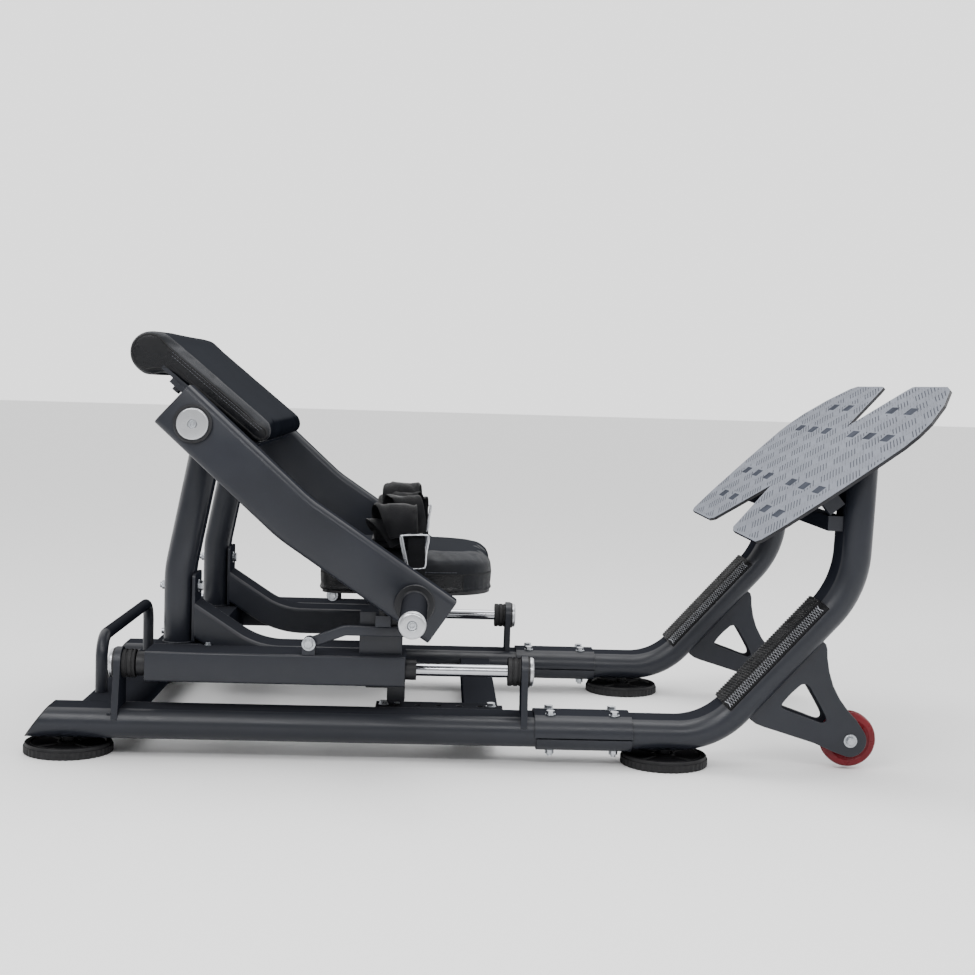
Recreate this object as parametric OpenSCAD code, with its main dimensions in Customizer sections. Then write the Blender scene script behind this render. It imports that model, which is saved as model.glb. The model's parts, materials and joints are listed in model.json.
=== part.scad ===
// Plate-loaded hip thrust machine: fixed base frame, sliding seat carriage and two swinging arms.
// X runs along the machine from the grab handle to the foot plate, Y across it, Z up from the floor.
// The origin is on the floor, under the centre of the machine. Both sides mirror each other in Y.

/* [Base frame] */
// Distance of each rail's centre from the middle
rail_y = 386; // [380:1:392]
// Height of the rails' centre above the floor
rail_z = 67; // [64:1:72]
// Width of the flat-oval frame tube
oval_w = 120; // [110:1:124]
// Thickness of the flat-oval frame tube
oval_t = 60; // [56:1:62]
// Wall thickness of the steel tubes
wall = 3; // [2:0.5:4]
// X of the rails' lower front tip
rail_front = -912; // [-915:1:-905]
// X where the front rail meets the rear bent tube
rail_joint = 192; // [180:1:200]
// Radius of a rubber foot
foot_r = 88; // [80:1:90]
// Distance of the feet from the middle
foot_y = 380; // [376:1:386]

/* [Foot plate end] */
// Rise of the sloping part of the rear tubes, in degrees
incline = 48; // [46:0.5:50]
// Rise of the upper part of the rear tubes, in degrees
upper_rise = 88; // [86:0.5:89]
// Slope of the foot plate, in degrees
plate_slope = 39.4; // [38:0.2:41]
// Thickness of the foot plate
plate_t = 6; // [5:0.5:8]
// Radius of a transport wheel
wheel_r = 56; // [50:1:57]

/* [Carriage] */
// Distance of the guide rods from the middle
rod_y = 390; // [386:1:392]
// Height of the guide rods
rod_z = 182; // [180:1:184]
// Diameter of the guide rods
rod_d = 25; // [25:1:25]
// Pitch of the holes in the index plate
index_pitch = 43; // [40:0.5:44]
// Height of the carriage's top faces
deck_z = 211; // [210:1:213]
// Thickness of the seat cushion
seat_t = 70; // [60:1:76]

/* [Arms] */
// X of the pivot axis
pivot_x = -583; // [-585:1:-580]
// Height of the pivot axis
pivot_z = 664; // [660:1:668]
// Distance of the arms' centre from the middle
arm_y = 445; // [443:1:448]
// Depth of the arm tube
arm_h = 100; // [96:1:102]
// Width of the arm tube
arm_w = 60; // [56:1:62]
// Fall of the upper part of the arm, in degrees
arm_fall = 42.3; // [42:0.1:42.6]
// Bend between the arm's two parts, in degrees
arm_bend = 8.5; // [8.2:0.1:8.8]
// Length of a weight horn, from the arm's outer face to its tip
horn_len = 277; // [250:1:290]
// Diameter of a weight horn
horn_d = 50; // [48:0.5:50]
// Distance of the back pad's sides from the middle
pad_half = 350; // [300:1:360]

/* [Hidden] */
$fn = 48;

frame_grey = "#2b2e36";
zinc = "#c9ccd0";
alloy = "#d5d8dc";
black = "#17181a";
leather = "#1d1e22";

rail_top = rail_z + oval_t / 2;
rail_low = rail_z - oval_t / 2;
front_tube_x = -772;
cross_member_x = -42;
post_bolt_z = [deck_z + 18, 325];
cross_member_w = 70;
front_bracket_x = -739.5;
rear_bracket_x = 67;
bracket_t = 13;
foot_x = [-835, 362];
foot_t = 22;
clamp_x = 95;
clamp_len = 194;
shell_t = 5;
clamp_bolt_x = [127, 255];

// Rear bent tube: flat run, bend, incline, bend, upper run
bend_r1 = 160;
bend_r2 = 200;
turn2 = upper_rise - incline;
steps = 4;
side1 = 2 * bend_r1 * tan(incline / steps / 2);
side2 = 2 * bend_r2 * tan(turn2 / steps / 2);
flat_run = 452 - rail_joint - bend_r1 * tan(incline / 2);
incline_run = 408 - bend_r1 * tan(incline / 2) - bend_r2 * tan(turn2 / 2);
tube_run = concat([[flat_run + side1 / 2, incline / steps]], [for (i = [2 : steps]) [side1, incline / steps]],
  [[incline_run + side1 / 2 + side2 / 2, turn2 / steps]], [for (i = [2 : steps]) [side2, turn2 / steps]],
  [[side2 / 2 + 230, 0]]);
mat_run = 262;

// Foot plate: the top edge of its upper face and its slope
plate_top_x = 919.5;
plate_top_z = 777;
wheel_x = 732.5;
wheel_z = 61.5;
wheel_w = 32;
fork_gap = 40;
fork_t = 8;

// Carriage
side_x0 = -680;
side_x1 = -165;
side_w = 100;
side_y = 320;
beam_t = 60;
beam_z = deck_z - beam_t / 2;
post_y = 269;
post_w = 100;
post_x = -634;
pillar_x0 = -258;
pillar_x1 = -173;
pillar_y = 361;
pillar_top = 296;
lever_x = -357;
lever_z = 233;
lever_y = 403;
lever_rod_x = -163;
lever_rod_z = 257;
pin_x = -182;
pin_y = 292;
pin_d = 12;
pin_gap = 3;
index_top = 90;
index_t = 8;
seat_x0 = -365;
seat_x1 = 24;
seat_half = 210;
seat_z = 388;

// Arms
knee = 265;
arm_tail = 57;
arm_low = 353;
low_fall = arm_fall - arm_bend;
knee_x = pivot_x + knee * cos(arm_fall);
knee_z = pivot_z - knee * sin(arm_fall);
horn_along = 287;
horn_x = knee_x + horn_along * cos(low_fall);
horn_z = knee_z - horn_along * sin(low_fall);
arm_in = arm_y - arm_w / 2;
arm_out = arm_y + arm_w / 2;
shaft_d = 30;
// Back pad: the line of its top face, and its layers
pad_slope = 39.4;
pad_x = -661;
pad_z = 832.5;
pad_len = 283;
foam_t = 45;
board_t = 8;
roll_r = 42;

// ---- shared shapes ----

// Flat-oval outline, w along X and h along Y
module oval(w, h) {
  square([w - h, h], center = true);
  for (s = [-1, 1]) translate([s * (w - h) / 2, 0]) circle(d = h);
}

module oval_ring(w, h) {
  difference() {
    oval(w, h);
    oval(w - 2 * wall, h - 2 * wall);
  }
}

// The same outline as a list of points, for tubes that bend
function oval_points(w, h) = let(
  half = [for (a = [0 : 22.5 : 180]) [(w - h + h * sin(a)) / 2, h * cos(a) / 2]])
  concat(half, [for (q = half) [-q[0], -q[1]]]);

// Stations [x, z, heading, stretch] at the mitres of a path in the XZ plane
function stations(sides, x, z, heading, i = 0) = i == len(sides) ? [] :
  let(turn = sides[i][1], nx = x + sides[i][0] * cos(heading), nz = z + sides[i][0] * sin(heading))
  concat([[nx, nz, heading + turn / 2, 1 / cos(turn / 2)]], stations(sides, nx, nz, heading + turn, i + 1));

// Closed solid swept through stations: outline x lies along Y, outline y along the path's normal
module swept(path, outline) {
  n = len(outline);
  sides = [for (i = [0 : len(path) - 2], j = [0 : n - 1])
    [i * n + j, i * n + (j + 1) % n, (i + 1) * n + (j + 1) % n, (i + 1) * n + j]];
  caps = [[for (j = [n - 1 : -1 : 0]) j], [for (j = [0 : n - 1]) (len(path) - 1) * n + j]];
  polyhedron([for (s = path, q = outline) [s[0] - q[1] * s[3] * sin(s[2]), q[0], s[1] + q[1] * s[3] * cos(s[2])]],
    concat(sides, caps), convexity = 6);
}

// Rectangle outline, w along X and h along Y
module box_outline(w, h) { square([w, h], center = true); }

// Extrudes an outline along +X: outline x becomes Y, outline y becomes Z
module along_x(len) {
  rotate([90, 0, 90]) linear_extrude(len) children();
}

// Extrudes an outline along Y, centred: outline x becomes X, outline y becomes Z
module along_y(len) {
  translate([0, len / 2, 0]) rotate([90, 0, 0]) linear_extrude(len) children();
}

// Bends an outline upwards through an angle in the XZ plane
module bend_up(r, angle) {
  translate([0, 0, r]) rotate([90, 0, 0]) rotate([0, 0, -90])
    rotate_extrude(angle = angle) translate([r, 0]) rotate(90) children();
}

// Follows straight runs and bends in the XZ plane: each entry is [length, turn, radius]
module follow(run, i = 0) {
  if (i < len(run)) {
    turn = run[i][1];
    r = run[i][2];
    side = turn < 0 ? 1 : 0;
    a = abs(turn);
    along_x(run[i][0]) children();
    translate([run[i][0], 0, 0]) {
      if (a > 0) mirror([0, 0, side]) bend_up(r, a) children();
      translate([0, 0, (1 - 2 * side) * r]) rotate([0, -turn, 0]) translate([0, 0, (2 * side - 1) * r])
        follow(run, i + 1) children();
    }
  }
}

// The same path in straight lengths whose ends overlap at each small turn; h is the outline's height
module follow_mitred(sides, h, i = 0) {
  if (i < len(sides)) {
    lead = i > 0 ? h / 2 * tan(abs(sides[i - 1][1]) / 2) : 0;
    tail = h / 2 * tan(abs(sides[i][1]) / 2);
    translate([-lead, 0, 0]) along_x(lead + sides[i][0] + tail) children();
    translate([sides[i][0], 0, 0]) rotate([0, -sides[i][1], 0]) follow_mitred(sides, h, i + 1) children();
  }
}

module tube_y(d, len) {
  rotate([90, 0, 0]) cylinder(d = d, h = len, center = true);
}

module tube_x(d, len) {
  rotate([0, 90, 0]) cylinder(d = d, h = len);
}

// Hexagon head screw pointing down from z = 0, with a washer
module hex_bolt(d, len) {
  cylinder(d = 2.1 * d, h = 1.6);
  translate([0, 0, 1.6]) cylinder(d = 1.75 * d, h = 0.65 * d, $fn = 6);
  translate([0, 0, -len]) cylinder(d = d, h = len);
}

module both_sides() {
  for (s = [0, 1]) mirror([0, s, 0]) children();
}

// ---- base frame ----

module rail_solid() {
  translate([rail_front, -rail_y, rail_z]) along_x(rail_joint - rail_front) oval(oval_w, oval_t);
}

// Everything in front of the rails' slanted ends
module front_slant(offset = 0) {
  translate([rail_front + offset, -rail_y, rail_low]) rotate([0, 36, 0])
    translate([-200, -100, -100]) cube([200, 200, 300]);
}

module clamp_bolt_holes() {
  for (x = clamp_bolt_x, s = [-1, 1]) translate([x, -rail_y + s * 28, 0]) cylinder(d = 10, h = 150);
}

module rail() {
  difference() {
    translate([rail_front, -rail_y, rail_z]) along_x(rail_joint - rail_front) oval_ring(oval_w, oval_t);
    front_slant(3);
    clamp_bolt_holes();
  }
}

module rail_near() { color(frame_grey) rail(); }
module rail_far() { color(frame_grey) mirror([0, 1, 0]) rail(); }

module rail_end_caps() {
  color(black) both_sides() difference() {
    intersection() {
      rail_solid();
      front_slant(3);
    }
    front_slant(0);
  }
}

module front_cross_tube() {
  color(frame_grey) difference() {
    translate([front_tube_x, rail_y, rail_z]) rotate([0, 0, -90]) along_x(2 * rail_y) oval_ring(oval_w, oval_t);
    both_sides() rail_solid();
  }
}

module rear_cross_member() {
  member_h = 50;
  z0 = index_top - index_t - member_h;
  color(frame_grey) difference() {
    translate([cross_member_x, -rail_y, z0]) cube([cross_member_w, 2 * rail_y, member_h]);
    translate([cross_member_x + wall, -rail_y, z0 + wall])
      cube([cross_member_w - 2 * wall, 2 * rail_y, member_h - 2 * wall]);
    both_sides() rail_solid();
  }
}

module grab_handle() {
  grip_d = 25;
  half = 262;
  top = 212;
  r = 45;
  foot = rail_top - 6;
  color(frame_grey) difference() {
    translate([-796, 0, 0]) {
      both_sides() {
        translate([0, -half, foot]) cylinder(d = grip_d, h = top - r - foot);
        translate([0, -half + r, top - r]) rotate([0, -90, 180])
          rotate_extrude(angle = 90) translate([r, 0]) circle(d = grip_d);
      }
      translate([0, 0, top]) tube_y(grip_d, 2 * (half - r));
    }
    translate([front_tube_x, rail_y, rail_z]) rotate([0, 0, -90]) along_x(2 * rail_y) oval(oval_w, oval_t);
  }
}

// Upright plate that straddles the rail and holds the end of a guide rod
module rod_bracket() {
  head_r = 33;
  difference() {
    along_x(bracket_t) {
      translate([-rod_y, rod_z]) circle(head_r);
      polygon([[-rail_y - 59, rail_z + 6], [-rail_y + 29, rail_z + 6],
        [-rod_y + head_r, rod_z], [-rod_y - head_r, rod_z]]);
    }
    translate([-50, -rail_y, rail_z]) along_x(100) oval(oval_w, oval_t);
    translate([-50, -rod_y, rod_z]) tube_x(rod_d, 100);
  }
}

module rod_brackets() {
  color(frame_grey) both_sides() for (x = [front_bracket_x, rear_bracket_x])
    translate([x, 0, 0]) rod_bracket();
}

module guide_rods() {
  color("silver") both_sides() translate([front_bracket_x, -rod_y, rod_z])
    tube_x(rod_d, rear_bracket_x + bracket_t - front_bracket_x);
}

// Domed alloy cap with a socket screw recess, its flat back at z = 0
module end_cap(d, h, edge) {
  difference() {
    rotate_extrude() {
      square([d / 2 - edge, h]);
      square([d / 2, h - edge]);
      translate([d / 2 - edge, h - edge]) circle(edge);
    }
    translate([0, 0, h - 3]) cylinder(d = 17, h = 10);
  }
  translate([0, 0, h - 3]) difference() {
    cylinder(d = 16, h = 4);
    translate([0, 0, 1]) cylinder(d = 8, h = 10, $fn = 6);
  }
}

module rod_end_caps() {
  color(alloy) both_sides() {
    translate([rear_bracket_x + bracket_t, -rod_y, rod_z]) rotate([0, 90, 0]) end_cap(58, 12, 4);
    translate([front_bracket_x, -rod_y, rod_z]) rotate([0, -90, 0]) end_cap(58, 12, 4);
  }
}

module bumpers() {
  bumper_len = 27;
  for (x = [front_bracket_x + bracket_t, rear_bracket_x - bumper_len])
    color(black) both_sides() translate([x, -rod_y, rod_z]) rotate([0, 90, 0]) difference() {
      cylinder(d = 57, h = bumper_len);
      translate([0, 0, -1]) cylinder(d = rod_d, h = bumper_len + 2);
    }
}

module index_plate() {
  x0 = -226;
  x1 = 36;
  y0 = 257;
  color("#3a3c42") difference() {
    union() {
      translate([x0, -340, index_top - index_t]) cube([x1 - x0 - 20, 340 - y0, index_t]);
      translate([x1 - 36, -y0 - 20, index_top - index_t]) cylinder(r = 20, h = index_t);
      translate([x1 - 36, -330, index_top - index_t]) cube([36, 330 - y0 - 20, index_t]);
    }
    rail_solid();
    for (i = [0 : 4]) translate([pin_x + i * index_pitch, -pin_y, index_top - index_t - 1])
      cylinder(d = pin_d + 2, h = index_t + 2);
    translate([12, -pin_y, index_top - index_t - 1]) cylinder(d = 10, h = index_t + 2);
    translate([-210, -pin_y, index_top - index_t - 1]) cylinder(d = 10, h = index_t + 2);
  }
}

// Clamp bolts with their nuts, and the index plate's screws
module base_bolts() {
  color(zinc) {
    both_sides() for (x = clamp_bolt_x, s = [-1, 1]) translate([x, -rail_y + s * 28, rail_top + shell_t]) {
      hex_bolt(10, oval_t + 2 * shell_t + 12);
      translate([0, 0, -oval_t - 2 * shell_t - 8]) cylinder(d = 17.5, h = 8, $fn = 6);
    }
    for (x = [-210, 12]) translate([x, -pin_y, index_top]) hex_bolt(10, index_t);
  }
}

module foot_pads() {
  color(black) both_sides() for (x = foot_x) translate([x, -foot_y, 0]) rotate_extrude($fn = 72)
    polygon([[0, 0], [foot_r - 2, 0], [foot_r, 2], [foot_r, foot_t - 3], [foot_r - 3, foot_t],
      [foot_r - 12, foot_t], [foot_r - 15, foot_t - 4], [20, foot_t - 4], [17, foot_t], [0, foot_t]]);
}

module foot_stems() {
  color(black) both_sides() for (x = foot_x) translate([x, -foot_y, foot_t])
    cylinder(d = 26, h = rail_low - foot_t);
}

// Clamp shell outline round the rail, cut at the height of the parting gap
module clamp_shell(upper) {
  gap = 3;
  difference() {
    translate([clamp_x + (upper ? 0 : 4), -rail_y, rail_z]) along_x(clamp_len - (upper ? 0 : 4)) difference() {
      oval(oval_w + 2 * shell_t, oval_t + 2 * shell_t);
      oval(oval_w, oval_t);
    }
    translate([clamp_x - 1, -rail_y - 100, upper ? -1 : rail_z - 8])
      cube([clamp_len + 2, 200, upper ? rail_z - 7 + gap : 90]);
    clamp_bolt_holes();
  }
}

module clamp_upper_shells() { color(frame_grey) both_sides() clamp_shell(true); }
module clamp_lower_shells() { color(frame_grey) both_sides() clamp_shell(false); }

// ---- foot plate end ----

// Carries its children to the foot plate's plane: local x runs down the slope, z is its normal
module on_plate() {
  translate([plate_top_x, 0, plate_top_z]) rotate([0, 180 - plate_slope, 0]) mirror([0, 0, 1]) children();
}

module rear_tube() {
  path = stations(tube_run, rail_joint, rail_z, 0);
  difference() {
    translate([0, -rail_y, 0]) swept(concat([[rail_joint, rail_z, 0, 1]], path), oval_points(oval_w, oval_t));
    translate([0, -rail_y, 0])
      swept(concat([[rail_joint - 2, rail_z, 0, 1]], path), oval_points(oval_w - 2 * wall, oval_t - 2 * wall));
    clamp_bolt_holes();
    on_plate() translate([-200, -800, -plate_t - 8]) cube([1000, 1600, 600]);
  }
}

module rear_tube_near() { color(frame_grey) rear_tube(); }
module rear_tube_far() { color(frame_grey) mirror([0, 1, 0]) rear_tube(); }

// Woven grip mat wrapped over the top of the sloping tube
module grip_mat() {
  mat_t = 7;
  translate([452, -rail_y, rail_z]) rotate([0, -incline, 0]) translate([73, 0, 0]) along_x(mat_run)
    intersection() {
      difference() {
        oval(oval_w + 2 * mat_t, oval_t + 2 * mat_t);
        oval(oval_w, oval_t);
      }
      translate([0, 50 + 10]) square([oval_w - 10, 100], center = true);
    }
}

module grip_mat_near() { color(black) grip_mat(); }
module grip_mat_far() { color(black) mirror([0, 1, 0]) grip_mat(); }

// One cheek of the wheel fork, with its round nose and triangular window
module fork_plate() {
  difference() {
    along_y(fork_t) difference() {
      union() {
        translate([wheel_x, wheel_z]) circle(29);
        polygon([[526, 110], [535, 92], [545, 87], [wheel_x - 10, wheel_z - 27.4], [wheel_x + 27, wheel_z + 10],
          [708, 128], [693, 152], [682, 180], [676, 210], [674, 240], [664, 262], [640, 262]]);
      }
      translate([598, 132]) circle(7);
      translate([632, 164]) circle(7);
      translate([671, 100]) circle(7);
      polygon([[594, 138], [627, 169], [638, 168], [678, 102], [669, 93], [597, 125]]);
    }
    translate([wheel_x, 0, wheel_z]) tube_y(12, 100);
  }
}

module wheel_bracket() {
  difference() {
    for (s = [-1, 1]) translate([0, -rail_y + s * (fork_gap + fork_t) / 2, 0]) fork_plate();
    translate([rail_joint, -rail_y, rail_z]) follow_mitred(tube_run, oval_t) box_outline(oval_w, oval_t);
  }
}

module wheel_bracket_near() { color(frame_grey) wheel_bracket(); }
module wheel_bracket_far() { color(frame_grey) mirror([0, 1, 0]) wheel_bracket(); }

module wheel_axles() {
  half = fork_gap / 2 + fork_t;
  color(zinc) both_sides() translate([wheel_x, -rail_y, wheel_z]) {
    tube_y(12, 2 * half);
    for (s = [-1, 1]) translate([0, s * (half + 1), 0]) tube_y(24, 2);
    for (s = [-1, 1]) translate([0, s * (half + 5.5), 0]) rotate([90, 0, 0])
      cylinder(d = 19, h = 7, center = true, $fn = 6);
  }
}

module tyre() {
  translate([wheel_x, -rail_y, wheel_z]) rotate([90, 0, 0]) rotate_extrude($fn = 72)
    polygon([[wheel_r - 12, -wheel_w / 2], [wheel_r - 4, -wheel_w / 2], [wheel_r - 1, -wheel_w / 2 + 3],
      [wheel_r, 0], [wheel_r - 1, wheel_w / 2 - 3], [wheel_r - 4, wheel_w / 2], [wheel_r - 12, wheel_w / 2]]);
}

module hub() {
  bore_r = 6.05;
  hub_r = wheel_r - 12;
  translate([wheel_x, -rail_y, wheel_z]) rotate([90, 0, 0]) rotate_extrude($fn = 72)
    polygon([[bore_r, -18], [14, -18], [16, -8], [hub_r - 6, -8], [hub_r - 4, -wheel_w / 2], [hub_r, -wheel_w / 2],
      [hub_r, wheel_w / 2], [hub_r - 4, wheel_w / 2], [hub_r - 6, 8], [16, 8], [14, 18], [bore_r, 18]]);
}

module tyre_near() { color("#9c1626") tyre(); }
module tyre_far() { color("#9c1626") mirror([0, 1, 0]) tyre(); }
module hub_near() { color(zinc) hub(); }
module hub_far() { color(zinc) mirror([0, 1, 0]) hub(); }

// One half of the foot plate's butterfly outline, x down the slope
plate_edge = [[149, 0], [18, 96], [2, 112], [0, 130], [0, 345], [10, 385], [58, 466], [112, 522], [150, 541],
  [186, 545], [246, 527], [318, 502], [388, 471], [440, 447], [496, 412], [505, 390], [505, 152], [497, 120], [360, 0]];

module foot_plate() {
  other_edge = [for (i = [len(plate_edge) - 2 : -1 : 1]) [plate_edge[i][0], -plate_edge[i][1]]];
  rows = [[83, [182, 316]], [168, [120, 250, 381]], [338, [120, 245, 370]], [424, [182, 308]]];
  slot = [22, 60];
  color("#a9adb3") on_plate() translate([0, 0, -plate_t]) difference() {
    linear_extrude(plate_t) polygon(concat(plate_edge, other_edge));
    for (row = rows, y = row[1], s = [-1, 1]) translate([row[0], s * y, plate_t / 2])
      cube([slot[0], slot[1], 2 * plate_t], center = true);
  }
}

module plate_cross_beam() {
  color(frame_grey) translate([669, -415, 484]) difference() {
    cube([30, 830, 30]);
    translate([wall, wall, wall]) cube([30 - 2 * wall, 830 - 2 * wall, 30 - 2 * wall]);
  }
}

// Flange and gusset under the foot plate on each rear tube
module plate_flanges() {
  flange_s = [185, 315];
  color(frame_grey) both_sides() on_plate() {
    translate([flange_s[0], -rail_y - 70, -plate_t - 8]) cube([flange_s[1] - flange_s[0], 140, 8]);
    translate([flange_s[1] + 6, -rail_y - 36, -plate_t - 38]) cube([36, 24, 38]);
  }
}

// ---- carriage ----

module side_tube() {
  y_mid = side_y + side_w / 2;
  plug = 6;
  difference() {
    translate([side_x0, -y_mid, beam_z]) along_x(side_x1 - side_x0) box_outline(side_w, beam_t);
    translate([side_x0 + plug, -y_mid, beam_z]) along_x(side_x1 - side_x0 - 2 * plug)
      box_outline(side_w - 2 * wall, beam_t - 2 * wall);
    translate([side_x0 - 1, -rod_y, rod_z]) tube_x(40, side_x1 - side_x0 + 2);
  }
}

module side_tube_near() { color(frame_grey) side_tube(); }
module side_tube_far() { color(frame_grey) mirror([0, 1, 0]) side_tube(); }

module front_beam() {
  color(frame_grey) translate([side_x0, -side_y, deck_z - beam_t]) difference() {
    cube([100, 2 * side_y, beam_t]);
    translate([wall, -1, wall]) cube([100 - 2 * wall, 2 * side_y + 2, beam_t - 2 * wall]);
  }
}

module rear_beam() {
  color(frame_grey) translate([pillar_x0, -side_y, deck_z - beam_t]) difference() {
    cube([55, 2 * side_y, beam_t]);
    translate([wall, -1, wall]) cube([55 - 2 * wall, 2 * side_y + 2, beam_t - 2 * wall]);
  }
}

// Linear bushings that run on the guide rods, with a round collar outside the tube
module slide_bushings() {
  inside = 55;
  bore = rod_d + 0.1;
  color(black) both_sides() translate([0, -rod_y, rod_z]) rotate([0, 90, 0]) {
    translate([0, 0, side_x0]) difference() {
      union() {
        cylinder(d = 40, h = inside);
        translate([0, 0, -17]) cylinder(d = 50, h = 17);
      }
      translate([0, 0, -50]) cylinder(d = bore, h = 200);
    }
    translate([0, 0, side_x1 - inside]) difference() {
      union() {
        cylinder(d = 40, h = inside);
        translate([0, 0, inside]) cylinder(d = 42, h = 22);
      }
      translate([0, 0, -50]) cylinder(d = bore, h = 200);
    }
  }
}

// Leaning post: a vertical foot, a bend and an upper part that ends under the pivot housing
module post_bolt_holes() {
  for (z = post_bolt_z) translate([post_x - 50, -post_y, z]) rotate([0, 90, 0]) cylinder(d = 12, h = 90);
}

module post() {
  lean = 11;
  path = stations([[149, -lean], [345, 0]], post_x, deck_z, 90);
  difference() {
    translate([0, -post_y, 0]) swept(concat([[post_x, deck_z, 90, 1]], path), oval_points(post_w, beam_t));
    translate([0, -post_y, 0])
      swept(concat([[post_x, deck_z - 2, 90, 1]], path), oval_points(post_w - 2 * wall, beam_t - 2 * wall));
    translate([pivot_x - 200, -post_y - 100, pivot_z]) cube([400, 200, 200]);
    translate([pivot_x, -post_y, pivot_z]) tube_y(48, 200);
    post_bolt_holes();
  }
}

module post_near() { color(frame_grey) post(); }
module post_far() { color(frame_grey) mirror([0, 1, 0]) post(); }

// Curved inner beam: falls from a flange on the post to the deck and runs back to the pillar
module s_beam() {
  fall = 33;
  r = 190;
  start_x = post_x + beam_t / 2;
  start_z = 262;
  drop = start_z - beam_z;
  slant = (drop - r * (1 - cos(fall))) / sin(fall);
  level_x = start_x + slant * cos(fall) + r * sin(fall);
  run = [[slant + 40, fall, r], [pillar_x0 - level_x, 0, 0]];
  head_x = start_x + 6;
  difference() {
    translate([start_x, -post_y, start_z]) rotate([0, fall, 0]) translate([-40, 0, 0])
      follow(run) box_outline(post_w, beam_t);
    translate([start_x, -post_y, start_z]) rotate([0, fall, 0]) translate([-40, 0, 0])
      follow(run) box_outline(post_w - 2 * wall, beam_t - 2 * wall);
    translate([start_x - 94, -post_y - 100, 100]) cube([100, 200, 300]);
    translate([head_x - 1, -post_y, post_bolt_z[0]]) rotate([0, 90, 0]) cylinder(d = 27, h = 12);
  }
  difference() {
    translate([start_x, -post_y - post_w / 2 + 6, deck_z]) cube([6, post_w - 12, 142]);
    post_bolt_holes();
  }
}

module s_beam_near() { color(frame_grey) s_beam(); }
module s_beam_far() { color(frame_grey) mirror([0, 1, 0]) s_beam(); }

// Through bolts that clamp each S beam's flange to its post
module post_bolts() {
  x = post_x + beam_t / 2 + 6;
  color(zinc) both_sides() for (z = post_bolt_z) translate([x, -post_y, z]) rotate([0, 90, 0]) {
    hex_bolt(12, beam_t + 6 + (z > 300 ? 12 : 0));
    translate([0, 0, -beam_t - 6 - 8]) cylinder(d = z > 300 ? 18 : 12, h = 8, $fn = z > 300 ? 6 : 24);
  }
}

module pillars() {
  color(frame_grey) both_sides() {
    translate([pillar_x0, -pillar_y - 30, deck_z]) difference() {
      cube([pillar_x1 - pillar_x0, beam_t, pillar_top - deck_z]);
      translate([wall, wall, -1]) cube([pillar_x1 - pillar_x0 - 2 * wall, beam_t - 2 * wall, pillar_top - deck_z - 4]);
    }
    translate([-225, -440, pillar_top - 22]) cube([30, 440 - pillar_y - 30, 22]);
  }
}

// Rubber buffers that the arms rest on
module arm_stops() {
  seat_gap = 0.3;
  along = (-210 - knee_x) / cos(low_fall);
  z = knee_z - along * sin(low_fall) - (arm_h / 2 + seat_gap) / cos(low_fall);
  color(black) both_sides() difference() {
    translate([-210, -430, pillar_top - 10]) cylinder(d = 18, h = 40);
    translate([-210, -500, z]) rotate([0, low_fall, 0]) translate([-100, 0, 0]) cube([200, 200, 100]);
    translate([-225, -440, pillar_top - 22]) cube([30, 60, 22]);
  }
}

module seat_beam() {
  color(frame_grey) translate([-245, -pillar_y + 30, 246]) difference() {
    cube([48, 2 * pillar_y - 60, 50]);
    translate([wall, -1, wall]) cube([48 - 2 * wall, 2 * pillar_y, 50 - 2 * wall]);
  }
}

// D-shaped seat outline with a round nose
module seat_outline(inset) {
  r = 120 - inset;
  back_r = 30;
  translate([seat_x0 + inset, -seat_half + inset + back_r])
    square([seat_x1 - seat_x0 - 2 * inset - r, 2 * (seat_half - inset - back_r)]);
  translate([seat_x0 + inset + back_r, -seat_half + inset])
    square([seat_x1 - seat_x0 - 2 * inset - r - back_r, 2 * (seat_half - inset)]);
  translate([seat_x1 - inset - r - 1, -seat_half + inset + r]) square([r + 1, 2 * (seat_half - inset - r)]);
  for (s = [-1, 1]) {
    translate([seat_x0 + inset + back_r, s * (seat_half - inset - back_r)]) circle(back_r);
    translate([seat_x1 - inset - r, s * (seat_half - inset - r)]) circle(r);
  }
}

module seat_pan() {
  pan_t = 12;
  color(black) translate([0, 0, seat_z - seat_t - pan_t]) linear_extrude(pan_t) seat_outline(15);
  color(frame_grey) translate([-245, -150, 296]) cube([60, 300, seat_z - seat_t - pan_t - 296]);
}

module seat_pad() {
  color(leather) translate([0, 0, seat_z - seat_t]) linear_extrude(seat_t - 6) seat_outline(0);
  color(leather) translate([0, 0, seat_z - 6]) linear_extrude(6) seat_outline(8);
}

// Bearing housings on top of the posts
module pivot_housings() {
  color(frame_grey) both_sides() translate([pivot_x, -post_y, pivot_z]) difference() {
    tube_y(48, post_w);
    tube_y(shaft_d + 0.1, 300);
  }
}

// Guide block for the index pin, hung from the rear beam
module pin_housing() {
  color(frame_grey) difference() {
    union() {
      translate([pillar_x0 + 55, -pin_y - 18, 100]) cube([36, 36, 104]);
      translate([pillar_x0, -pin_y - 18, 128]) cube([56, 36, deck_z - beam_t - 128]);
    }
    translate([pin_x, -pin_y, 50]) cylinder(d = pin_d + 0.1, h = 200);
    translate([pillar_x0 - 20, -pin_y - 50, 128 - 41]) rotate([0, -36, 0]) cube([50, 100, 40]);
  }
}

// Forked lugs for the release levers, each with its pivot bolt
module lever_lugs() {
  for (s = [-1, 1], side = [-1, 1]) color(frame_grey)
    translate([lever_x, side * lever_y + s * 11.5, 0]) difference() {
    union() {
      translate([0, 0, lever_z]) tube_y(26, 5);
      translate([-13, -2.5, deck_z]) cube([26, 5, lever_z - deck_z]);
    }
    translate([0, 0, lever_z]) tube_y(10, 10);
  }
  color(zinc) both_sides() translate([lever_x, -lever_y - 14, lever_z]) rotate([90, 0, 0]) hex_bolt(10, 28);
}

// ---- arms ----

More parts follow.
